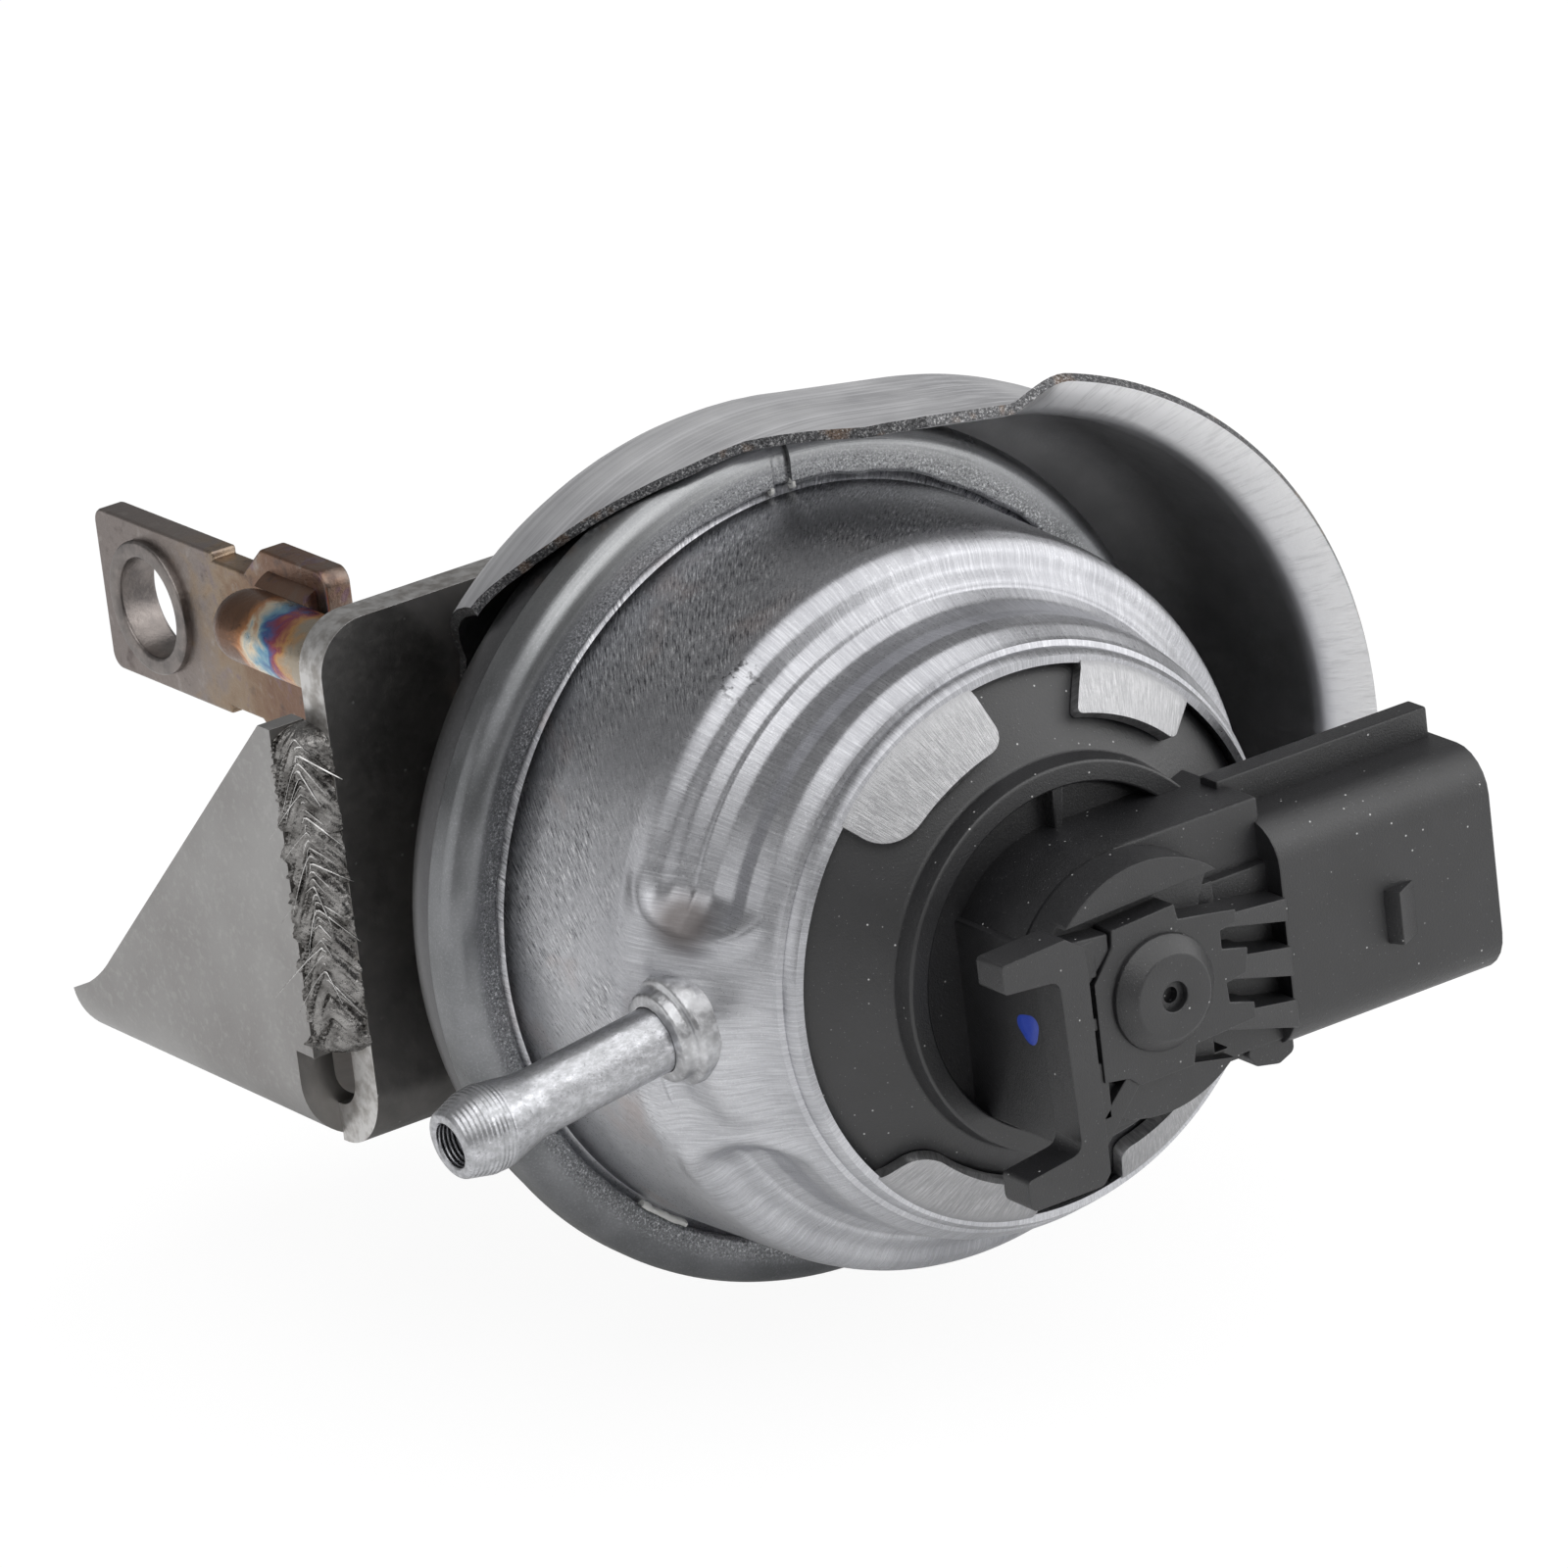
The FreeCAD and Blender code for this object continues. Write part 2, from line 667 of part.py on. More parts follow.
def egg_outline(sketch, d, left, right):
    """Two arcs about the can's axis and about the offset axis, joined by straight tangents."""
    offset = d["shield_offset"]
    across = (left - right) / offset
    upward = square_root(1.0 - across * across)
    corners = [(left * across, left * upward), (left * across, -left * upward),
               (offset + right * across, -right * upward), (offset + right * across, right * upward)]
    spots = [Vector(x.value, y.value, 0) for x, y in corners]
    sketch.addGeometry(Part.Arc(spots[0], Vector(-left.value, 0, 0), spots[1]), False)
    sketch.addGeometry(Part.LineSegment(spots[1], spots[2]), False)
    sketch.addGeometry(Part.Arc(spots[2], Vector(offset.value + right.value, 0, 0), spots[3]), False)
    sketch.addGeometry(Part.LineSegment(spots[3], spots[0]), False)
    for i in range(4):
        before = (i - 1) % 4
        own = vertex_at(sketch, i, spots[i])
        other = vertex_at(sketch, before, spots[i])
        sketch.addConstraint(Sketcher.Constraint("Coincident", before, other, i, own))
        pin_point(sketch, i, own, *corners[i])
    for i, radius in ((0, left), (2, right)):
        row = sketch.addConstraint(Sketcher.Constraint("Radius", i, radius.value))
        sketch.setExpression("Constraints[%d]" % row, radius.text)


def make_heat_shield(doc, d, home):
    """A pressed dish behind the can, flared on the right and trimmed away on the left and below."""
    shield = Piece(doc, "heat_shield", home)
    at = levels(d)
    sheet = d["shield_sheet"]
    back = at["shield"] + sheet
    left = d["shield_left_radius"]
    right = d["shield_right_radius"]
    outside = shield.sketch("XZ_Plane", -back)
    egg_outline(outside, d, left, right)
    shield.push(outside, back + d["shield_front"], False)
    inside = shield.sketch("XZ_Plane", -at["shield"])
    egg_outline(inside, d, left - sheet, right - sheet)
    shield.push(inside, at["shield"] + d["shield_front"] + 1.0, True)
    floor = at["shield"].value
    shield.dressed("Fillet", d["shield_corner"] - sheet,
                   lambda edge: abs(edge.BoundBox.YMin - floor) < 0.01 and edge.BoundBox.YLength < 0.01)
    shield.dressed("Fillet", d["shield_corner"],
                   lambda edge: abs(edge.BoundBox.YMin - back.value) < 0.01 and edge.BoundBox.YLength < 0.01)
    lip = shield.sketch("XY_Plane")
    front = d["shield_front"]
    reach = d["shield_flare"]
    rise = d["shield_flare_rise"]
    radius = d["shield_offset"] + right
    draw_outline(lip, [(radius - sheet, 1.0 - front), (radius, 1.0 - front), (radius + 0.25, -front),
                       (radius + reach, -front - rise), (radius + reach - 0.3, -front - rise - sheet),
                       (radius - sheet + 0.2, -front - 0.3)],
                 arcs={2: -4.0, 4: 5.0})
    axis_line = lip.addGeometry(Part.LineSegment(Vector(d["shield_offset"].value, -20, 0),
                                                 Vector(d["shield_offset"].value, 20, 0)), True)
    pin_point(lip, axis_line, 1, d["shield_offset"], as_size(-20))
    pin_point(lip, axis_line, 2, d["shield_offset"], as_size(20))
    shield.feature("Revolution", lip, ReferenceAxis=(lip, ["Axis0"]), Angle=d["shield_flare_sweep"],
                   Midplane=True)
    slope = d["shield_trim_slope"]
    middle = d["shield_trim_centre"]
    end = d["shield_trim_end"]
    far = left * 2
    shield.extruded("XY_Plane", [(-far, slope * far - middle), (end, -slope * end - middle), (end, -far),
                                 (-far, -far)],
                    0.0, far, cut=True)
    low_left = -d["shield_left_end"]
    high = d["shield_left_top"]
    shield.extruded("XZ_Plane", [(low_left, -far), (low_left, high),
                                 (-far, high + (far + low_left) * d["shield_left_slope"]), (-far, -far)],
                    -far, far * 2, cut=True)
    shield.extruded("XZ_Plane", box_corners(-far, far, -far, -d["shield_low_end"]), -far, far * 2, cut=True)
    shield.round_bar("XZ_Plane", (0.0, 0.0), d["frame_hole_radius"], -30.0, 20.0, cut=True)
    for side in (-1, 1):
        shield.round_bar("XZ_Plane", (side * d["stud_offset"], 0.0), d["stud_hole_radius"], -30.0, 20.0,
                         cut=True)
    return shield.body


def make_bracket(doc, d, home):
    """One folded sheet: an upright wall, a base flange and a side gusset."""
    bracket = Piece(doc, "mounting_bracket", home)
    at = levels(d)
    sheet = d["bracket_sheet"]
    inner = d["fold_inner_radius"]
    outer = inner + sheet
    wall = at["wall"]
    back = at["wall_back"]
    floor = -d["base_drop"]
    left = -d["wall_left"]
    top = d["wall_top"]
    reach = d["base_reach"]
    relief = d["relief_end"]
    bracket.extruded("YZ_Plane", [(wall, top), (wall, floor + outer), (wall + outer, floor), (relief, floor),
                                  (relief, floor + sheet), (back + inner, floor + sheet),
                                  (back, floor + outer), (back, top)],
                     left, d["wall_left"] + d["wall_right"], arcs={1: outer, 5: -inner})
    base_left = left - sheet + outer
    bracket.extruded("XY_Plane", box_corners(base_left, d["wall_right"], relief - 0.1, reach), floor, sheet)
    side = left - sheet
    bracket.extruded("XZ_Plane", [(side, d["gusset_top"]), (side, floor + outer), (side + outer, floor),
                                  (base_left + 1.0, floor), (base_left + 1.0, floor + sheet),
                                  (left + inner, floor + sheet), (left, floor + outer),
                                  (left, d["gusset_top"])],
                     -reach, reach - relief, arcs={1: outer, 5: -inner})
    bracket.extruded("XZ_Plane", box_corners(side, left, -d["relief_top"], d["gusset_top"]),
                     -relief - 0.1, relief + 0.1 - back - 0.3)
    toe = floor + d["gusset_toe_height"]
    bracket.extruded("YZ_Plane", [(relief - 0.8, d["gusset_top"]),
                                  (d["gusset_slope_end"], -d["gusset_slope_height"]),
                                  (reach, toe), (reach + 5.0, toe), (reach + 5.0, top + 5.0),
                                  (relief - 0.8, top + 5.0)],
                     side - 2.0, sheet + 2.5, arcs={1: d["gusset_bend"]}, cut=True)
    bracket.round_bar("XZ_Plane", (0.0, 0.0), d["frame_hole_radius"], -back - 1.0, sheet + 2.0, cut=True)
    for hand in (-1, 1):
        bracket.round_bar("XZ_Plane", (hand * d["stud_offset"], 0.0), d["stud_hole_radius"], -back - 1.0,
                          sheet + 2.0, cut=True)
        bracket.round_bar("XY_Plane", (d["bolt_centre_x"] + hand * d["bolt_spacing"] / 2, d["bolt_row"]),
                          d["bolt_hole_radius"], floor - 1.0, sheet + 2.0, cut=True)
    middle = (wall + back) / 2
    bracket.dressed("Fillet", d["wall_corner"],
                    lambda edge: at_corner(edge, "y", {"x": left, "y": middle, "z": top})
                    or at_corner(edge, "y", {"x": d["wall_right"], "y": middle, "z": top})
                    or at_corner(edge, "z", {"x": d["wall_right"], "y": reach, "z": floor + sheet / 2}))
    return bracket.body


def make_bracket_weld(doc, d, home):
    """The bead that fills the corner between the wall's left edge and the gusset's front edge."""
    weld = Piece(doc, "bracket_weld", home)
    at = levels(d)
    left = -d["wall_left"] - 0.02
    back = at["wall_back"] + 0.28
    weld.extruded("XY_Plane", [(left, at["wall"] + 0.2), (left, back),
                               (left - d["bracket_sheet"] + 0.1, back)],
                  -d["weld_low"], d["weld_low"] + d["gusset_top"] - 0.4, arcs={2: d["weld_arc_radius"]})
    return weld.body


def make_studs(doc, d, home):
    """The two studs welded inside the rear can, and their flanged nuts behind the bracket."""
    at = levels(d)
    made = []
    for name, side in (("left", -1), ("right", 1)):
        x = side * d["stud_offset"]
        stud = Piece(doc, "can_stud_" + name, home)
        stud.round_bar("XZ_Plane", (x, 0.0), d["stud_head_radius"], -at["can_inside"], d["stud_head"])
        stud.round_bar("XZ_Plane", (x, 0.0), d["stud_radius"], -d["stud_reach"],
                       d["stud_reach"] - at["can_inside"] + 0.2)
        made.append(stud.body)
        nut = Piece(doc, "can_nut_" + name, home)
        across = d["nut_flats"] / 2 / cosine(30)
        corners = [(x + across * cosine(60 * k), across * sine(60 * k)) for k in range(6)]
        nut.extruded("XZ_Plane", corners, -at["wall_back"] - d["nut_height"],
                     d["nut_height"] - d["nut_flange"] + 0.2)
        nut.round_bar("XZ_Plane", (x, 0.0), d["nut_flange_radius"], -at["wall_back"] - d["nut_flange"],
                      d["nut_flange"])
        nut.round_bar("XZ_Plane", (x, 0.0), d["stud_radius"] + 0.02, -at["wall_back"] - d["nut_height"] - 1.0,
                      d["nut_height"] + 2.0, cut=True)
        made.append(nut.body)
    return made


def make_nipple(doc, d, home):
    """The vacuum pipe and the brazed collar at its root."""
    pipe = Piece(doc, "vacuum_nipple", home)
    bore = d["nipple_bore_radius"]
    shaft = d["nipple_radius"]
    bulb = d["nipple_bulb_radius"]
    tip = d["nipple_tip"]
    mouth = bulb - d["nipple_mouth_step"]
    nipple_turned(pipe, d, [(bore, d["nipple_root"]), (shaft, d["nipple_root"]),
                            (shaft, tip - d["nipple_bulb_length"]), (bulb, tip - d["nipple_barb"]),
                            (mouth + 0.25, tip - 0.3), (mouth, tip), (bore, tip)],
                  arcs={2: -7.0, 3: 5.0})
    collar = Piece(doc, "nipple_collar", home)
    nipple_turned(collar, d, box_corners(0.0, d["collar_radius"], d["nipple_root"] - 2.4, d["collar_end"]))
    skin = can_skin(d)
    collar.turned([(0.0, skin[0][1]), skin[1]] + skin[2:7] + [(0.0, -d["nose_face"])],
                  arcs={1: -d["flange_bend"], 3: d["shoulder_bend"], 5: d["cone_bend"]}, cut=True)
    nipple_turned(collar, d, box_corners(0.0, shaft + d["bore_fit"], d["nipple_root"] - 4.0,
                                         d["collar_end"] + 4.0), cut=True)
    return [pipe.body, collar.body]


def make_rod_group(doc, d, home):
    """The rod with its collar, washer, nut, guide bush and wiper."""
    at = levels(d)
    rod_radius = d["rod_radius"]
    thread = d["rod_thread_radius"]
    collar = at["washer_back"] + d["rod_collar"]
    rod = Piece(doc, "actuator_rod", home)
    rod.turned([(0.0, at["rod_tip"]), (thread - 0.4, at["rod_tip"]), (thread, at["rod_tip"] + 0.4),
                (thread, at["washer_back"]), (d["rod_collar_radius"], at["washer_back"]),
                (d["rod_collar_radius"], collar), (rod_radius, collar),
                (rod_radius, d["rod_end"] - rod_radius),
                (0.0, d["rod_end"])], arcs={7: rod_radius})
    washer = Piece(doc, "backing_washer", home)
    washer.turned(box_corners(thread + 0.02, d["washer_radius"], at["rubber_back"], at["washer_back"]))
    nut = Piece(doc, "rod_nut", home)
    across = d["rod_nut_flats"] / 2 / cosine(30)
    nut.extruded("XZ_Plane", [(across * cosine(60 * k), across * sine(60 * k)) for k in range(6)],
                 -d["piston_face"], d["rod_nut_height"])
    nut.round_bar("XZ_Plane", (0.0, 0.0), thread + 0.02, -d["piston_face"] - 1.0,
                  d["rod_nut_height"] + 2.0, cut=True)
    bore = rod_radius + d["guide_clearance"]
    bush = Piece(doc, "rod_guide_bush", home)
    bush.turned([(bore, at["can_inside"] - d["guide_flange"]),
                 (d["guide_flange_radius"], at["can_inside"] - d["guide_flange"]),
                 (d["guide_flange_radius"], at["can_inside"]), (d["guide_radius"], at["can_inside"]),
                 (d["guide_radius"], d["guide_end"]), (bore, d["guide_end"])])
    wiper = Piece(doc, "rod_wiper", home)
    end = d["guide_end"] + d["wiper_length"]
    wiper.turned([(rod_radius + 0.06, d["guide_end"]), (d["wiper_radius"], d["guide_end"]),
                  (d["wiper_radius"], end - 0.9), (rod_radius + 0.9, end), (rod_radius + 0.06, end)])
    return [rod.body, washer.body, nut.body, bush.body, wiper.body]


def make_link(doc, d, home):
    """The flat link on the rod's end, its swaged eyelet and the two weld beads."""
    sheet = d["link_sheet"]
    face = d["rod_radius"]
    inner = d["link_inner_height"] / 2
    outer = d["link_outer_height"] / 2
    neck = d["link_neck_height"] / 2
    start = d["link_start"]
    neck_start = d["link_neck_start"]
    neck_end = d["link_neck_end"]
    end = d["link_end"]
    middle = -d["link_drop"]
    step = neck_start - d["link_step_run"]
    left = [(start, middle - inner), (step, middle - inner), (neck_start, middle - neck),
            (neck_end, middle - neck), (neck_end, middle - outer), (end, middle - outer)]
    right = [(end, middle + outer), (neck_end, middle + outer), (neck_end, middle + neck),
             (neck_start, middle + neck), (step, middle + inner), (start, middle + inner)]
    link = Piece(doc, "link_plate", home)
    link.extruded("YZ_Plane", left + right, face, sheet)
    centre = (d["eye_centre"], middle)
    link.round_bar("YZ_Plane", centre, d["eye_seat_radius"], face - 1.0, sheet + 2.0, cut=True)
    link.dressed("Fillet", d["link_corner"],
                 lambda edge: at_corner(edge, "x", {"y": end, "z": middle + outer})
                 or at_corner(edge, "x", {"y": end, "z": middle - outer})
                 or at_corner(edge, "x", {"y": start, "z": middle + inner})
                 or at_corner(edge, "x", {"y": start, "z": middle - inner}))
    eye = Piece(doc, "link_eyelet", home)
    rim = d["eye_rim"]
    eye.round_bar("YZ_Plane", centre, d["eye_seat_radius"] - 0.01, face - rim + 0.1,
                  sheet + rim * 2 + d["eye_reach"])
    eye.round_bar("YZ_Plane", centre, d["eye_rim_radius"], face - rim, rim)
    eye.round_bar("YZ_Plane", centre, d["eye_rim_radius"], face + sheet, rim)
    eye.round_bar("YZ_Plane", centre, d["eye_hole_radius"], face - 3.0, sheet + 8.0, cut=True)
    made = [link.body, eye.body]
    hug = d["rod_radius"] + 0.02
    leg = d["link_weld_leg"]
    for name, side in (("upper", 1), ("lower", -1)):
        bead = Piece(doc, "link_weld_" + name, home)
        low = (hug * cosine(10), side * hug * sine(10))
        high = (hug * cosine(58), side * hug * sine(58))
        plate = face - 0.02
        bead.extruded("XZ_Plane", [(plate, side * leg), high, low, (plate, low[1])],
                      1.5 - d["rod_end"], d["rod_end"] - 3.0 - start,
                      arcs={0: side * 3.2, 1: -side * hug})
        made.append(bead.body)
    return made


def make_diaphragm_group(doc, d, home):
    """The piston cup, the rolling diaphragm and the return spring."""
    at = levels(d)
    thread = d["rod_thread_radius"] + 0.02
    rim = d["piston_radius"]
    sheet = d["piston_sheet"]
    face = d["piston_face"]
    cup = Piece(doc, "piston_cup", home)
    cup.turned([(thread, face), (rim - sheet - 1.0, face), (rim - sheet, face - 1.0),
                (rim - sheet, face - d["piston_rim"]), (rim, face - d["piston_rim"]),
                (rim, at["piston_back"] - 2.0), (rim - 2.0, at["piston_back"]), (thread, at["piston_back"])],
               arcs={1: -1.0, 5: 2.0})
    rubber = Piece(doc, "diaphragm", home)
    clamp = d["barrel_root_radius"]
    skin = d["rubber"]
    rubber.turned([(thread, at["piston_back"]), (rim + 0.5, at["piston_back"]), (clamp - skin, at["rubber"]),
                   (d["flange_radius"], at["rubber"]), (d["flange_radius"], at["lower"]),
                   (clamp, at["lower"]), (rim + 1.1, at["rubber_back"]), (thread, at["rubber_back"])],
                  arcs={1: 8.0, 5: -9.0})
    spring = Piece(doc, "return_spring", home)
    wire = d["spring_wire_radius"]
    front = d["ledge_sheet"] + d["seat_face_gap"] - d["sensor_flange_back"]
    make_helix(spring, d["spring_coil_radius"], wire, front + wire, face - wire - 0.05, d["spring_turns"])
    return [cup.body, rubber.body, spring.body]


def make_helix(piece, coil, wire, start, end, turns):
    """A round wire wound about the Y axis from start to end."""
    sketch = piece.sketch("XY_Plane")
    draw_circle(sketch, (coil, start), wire)
    height = end - start
    return piece.feature("AdditiveHelix", sketch, ReferenceAxis=(sketch, ["V_Axis"]),
                         Mode="height-turns-angle", Height=height, Turns=as_size(turns), Angle=0.0,
                         Growth=0.0)


def make_sensor(doc, d, home):
    """The moulded sensor: flange, hub, front plate, tail bar, bridge and connector shell."""
    body = Piece(doc, "sensor_housing", home)
    edge = d["sensor_flange_radius"]
    back = d["sensor_flange_back"]
    ring = d["sensor_ring_radius"]
    bore = d["sensor_ring_bore"]
    hub = d["hub_radius"]
    tube = d["guide_tube_radius"]
    floor = d["sensor_foot"] - 0.2
    body.turned([(0.0, -d["guide_tube_back"]), (tube, -d["guide_tube_back"]), (tube, -back), (edge, -back),
                 (edge, -d["sensor_flange_edge"]), (ring + d["sensor_ring_draft"], -d["sensor_foot"]),
                 (ring - 0.1, -d["sensor_ring_face"]), (bore, -d["sensor_ring_face"]), (bore - 0.1, -floor),
                 (d["hub_base_radius"], -floor), (hub, -d["hub_face"]), (0.0, -d["hub_face"])])
    block = d["block_face"]
    mouth = d["shell_left"]
    foot = d["sensor_foot"] - 1.8
    body.extruded("XZ_Plane", box_corners(0.0, mouth + 0.5, -d["shell_bottom"], d["block_top"]),
                  foot, block - foot)
    body.extruded("XZ_Plane", box_corners(-d["block_left"], 0.0, -d["block_low"], d["block_high"]),
                  foot, d["hub_face"] - foot)
    body.extruded("XZ_Plane", box_corners(0.0, mouth + 0.5, -d["bridge_low"], d["bridge_high"]),
                  block - 0.5, d["bridge_face"] - block + 0.5)
    body.extruded("XZ_Plane", [(-6.3, -8.4), (2.4, -6.6), (2.4, -4.8), (5.2, -4.0), (5.2, 4.2), (2.1, 4.9),
                               (2.1, 6.2), (-3.9, 6.2), (-6.3, 4.0)],
                  d["plate_face"] - d["plate_sheet"], d["plate_sheet"])
    bar_left = -d["bar_right"] - d["bar_width"]
    hook = -d["hook_reach"]
    width = d["bar_width"]
    top = d["bar_top"]
    low = -d["bar_bottom"]
    body.extruded("XZ_Plane", [(-d["bar_right"], low + 1.0), (-d["bar_right"], top - 1.6),
                               (-d["bar_right"] - 1.6, top), (hook, top - 0.4), (hook, top - width - 0.2),
                               (bar_left, top - width), (bar_left, low + width), (hook, low + width - 0.3),
                               (hook, low), (-d["bar_right"] - 1.0, low)],
                  d["bar_face"] - d["bar_sheet"], d["bar_sheet"])
    for low_z, high_z in ((2.0, 4.1), (-2.1, 0.5), (-6.2, -3.6)):
        body.extruded("XZ_Plane", box_corners(5.6, mouth - 0.6, low_z, high_z), 35.0, 6.5, cut=True)
    body.turned([(0.0, 0.5 - d["plate_face"]), (d["dome_radius"], 0.5 - d["plate_face"]),
                 (d["dome_radius"], -d["plate_face"]),
                 (d["dome_top_radius"], -d["plate_face"] - d["dome_height"]),
                 (0.0, -d["plate_face"] - d["dome_height"])])
    make_shell(body, d)
    body.round_bar("XZ_Plane", (0.0, 0.0), d["dome_hole_radius"], d["plate_face"] - 1.0, 4.0, cut=True)
    body.round_bar("XZ_Plane", (0.0, 0.0), d["plunger_bore_radius"], 10.0, d["plunger_bore_face"] - 10.0,
                   cut=True)
    circle = d["seal_circle_radius"]
    section = d["seal_section_radius"]
    gap = d["seal_gap"]
    body.turned(box_corners(circle - section - gap, circle + section + gap,
                            d["seat_face_gap"] - back - section * 2 - gap * 3, 0.5 - back), cut=True)
    make_pin_slots(body, d)
    return body.body


def rounded_box(low_y, high_y, low_z, high_z, radius):
    """Corners and arcs of a rounded rectangle in the (y, z) plane."""
    points = [(low_y + radius, low_z), (high_y - radius, low_z), (high_y, low_z + radius),
              (high_y, high_z - radius), (high_y - radius, high_z), (low_y + radius, high_z),
              (low_y, high_z - radius), (low_y, low_z + radius)]
    return points, {1: radius, 3: radius, 5: radius, 7: radius}


def make_shell(body, d):
    """The connector shell, open towards +X, with its key rail and latch wedge."""
    face = -d["shell_face"]
    back = -d["shell_back"]
    low = -d["shell_bottom"]
    top = d["shell_top"]
    mouth = d["shell_mouth"]
    wall = d["shell_wall"]
    points, arcs = rounded_box(face, back, low, top, d["shell_corner"])
    body.extruded("YZ_Plane", points, d["shell_left"], mouth - d["shell_left"], arcs=arcs)
    points, arcs = rounded_box(face + wall, back - wall, low + wall, top - wall, d["shell_corner"] - wall)
    body.extruded("YZ_Plane", points, mouth - d["shell_depth"], d["shell_depth"] + 1.0, arcs=arcs, cut=True)
    rail = -d["rail_front"]
    body.extruded("YZ_Plane", box_corners(rail, rail + d["rail_width"], top - 0.4, d["rail_top"]),
                  d["shell_left"] - 0.6, mouth - d["shell_left"])
    body.extruded("XY_Plane", [(d["latch_left"], face + 0.3), (d["latch_left"], face - d["latch_rise"]),
                               (d["latch_right"], face), (d["latch_right"], face + 0.3)],
                  -d["latch_low"], d["latch_low"] + d["latch_top"])


def pin_rows(d):
    """The height of each terminal: three in a row, centred on the shell."""
    middle = (d["shell_top"] - d["shell_bottom"]) / 2
    return [("upper", middle + d["pin_pitch"]), ("middle", middle), ("lower", middle - d["pin_pitch"])]


def make_pin_slots(body, d):
    """The closed pocket for the sensor board and the passages of the three terminals."""
    fit = d["pin_fit"]
    half = d["pin_width"] / 2 + fit
    depth = (d["shell_face"] + d["shell_back"]) / 2
    wide = d["board_width"] / 2 + fit
    board_end = d["board_x"] + d["board_sheet"] + fit
    body.extruded("XZ_Plane", box_corners(d["board_x"] - fit, board_end, -wide, wide),
                  d["board_back"] - fit, d["board_front"] - d["board_back"] + fit * 2, cut=True)
    for name, height in pin_rows(d):
        body.extruded("YZ_Plane", box_corners(-depth - half, half - depth, height - half, height + half),
                      board_end - 0.1, d["shell_mouth"] - d["shell_depth"] - board_end + 0.2, cut=True)


def make_sensor_parts(doc, d, home):
    """The seal, the board, the terminals, and the sprung plunger with its magnet."""
    at = levels(d)
    made = []
    seal = Piece(doc, "sensor_seal", home)
    section = d["seal_section_radius"]
    ring = seal.sketch("XY_Plane")
    back = d["seat_face_gap"] - d["seal_gap"] - d["sensor_flange_back"]
    draw_circle(ring, (d["seal_circle_radius"], back - section), section)
    seal.feature("Revolution", ring, ReferenceAxis=(ring, ["V_Axis"]), Angle=as_size(360.0), Midplane=True)
    made.append(seal.body)
    board = Piece(doc, "sensor_board", home)
    wide = d["board_width"] / 2
    board.extruded("XZ_Plane", box_corners(d["board_x"], d["board_x"] + d["board_sheet"], -wide, wide),
                   d["board_back"], d["board_front"] - d["board_back"])
    made.append(board.body)
    half = d["pin_width"] / 2
    depth = (d["shell_face"] + d["shell_back"]) / 2
    start = d["board_x"] + d["board_sheet"] + d["pin_fit"]
    for name, height in pin_rows(d):
        pin = Piece(doc, "terminal_" + name, home)
        pin.extruded("YZ_Plane", box_corners(-depth - half, half - depth, height - half, height + half),
                     start, d["pin_end"] - start)
        made.append(pin.body)
    plunger = Piece(doc, "sensor_plunger", home)
    guide = d["plunger_bore_radius"] - d["plunger_fit"]
    neck = d["plunger_neck_radius"]
    hollow = d["plunger_hollow_radius"]
    front = -d["plunger_front"]
    magnet_back = front + d["magnet_length"]
    foot = -d["plunger_foot"]
    toe = d["plunger_foot_radius"]
    plunger.turned([(0.0, foot - 2.0), (hollow, foot - 2.0), (hollow, front), (neck, front),
                    (neck, magnet_back),
                    (guide, magnet_back), (guide, foot), (toe, foot + 1.5), (toe, at["rod_tip"] - 0.02),
                    (0.0, at["rod_tip"] - 0.02)])
    made.append(plunger.body)
    magnet = Piece(doc, "sensor_magnet", home)
    magnet.turned(box_corners(neck + 0.02, guide - 0.1, front + 0.1, magnet_back))
    made.append(magnet.body)
    coil = Piece(doc, "plunger_spring", home)
    wire = d["plunger_wire_radius"]
    make_helix(coil, d["plunger_coil_radius"], wire, wire - d["plunger_bore_face"], foot - 2.0 - wire,
               d["plunger_turns"])
    made.append(coil.body)
    return made


def build(doc):
    """Draw every piece in the document and return them in a list."""
    d = write_sheet(doc)
    fitted(d)
    home = (-d["bolt_centre_x"], -d["bolt_row"], d["base_drop"])
    made = [make_upper_can(doc, d, home), make_lower_can(doc, d, home), make_crimp_ring(doc, d, home),
            make_heat_shield(doc, d, home), make_bracket(doc, d, home), make_bracket_weld(doc, d, home)]
    made += make_studs(doc, d, home)
    made += make_nipple(doc, d, home)
    made += make_rod_group(doc, d, home)
    made += make_link(doc, d, home)
    made += make_diaphragm_group(doc, d, home)
    made.append(make_sensor(doc, d, home))
    made += make_sensor_parts(doc, d, home)
    return made


def check_and_write(doc, pieces):
    for thing in doc.Objects:
        if "Invalid" in thing.State or "Error" in thing.State:
            raise RuntimeError("%s (%s) failed: %s" % (thing.Name, thing.Label, thing.State))
    for piece in pieces:
        if piece.Shape.isNull() or not piece.Shape.isValid():
            raise RuntimeError("%s has no valid shape" % piece.Label)
    os.makedirs("parts", exist_ok=True)
    for piece in pieces:
        piece.Shape.exportStep("parts/%s.step" % piece.Label)
        print("%-22s solids %d volume %9.1f" % (piece.Label, len(piece.Shape.Solids), piece.Shape.Volume))


document = FreeCAD.newDocument("WastegateActuator")
pieces = build(document)
document.recompute()
check_and_write(document, pieces)
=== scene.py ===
import math

import bmesh
import bpy
from mathutils import Matrix, Vector, noise


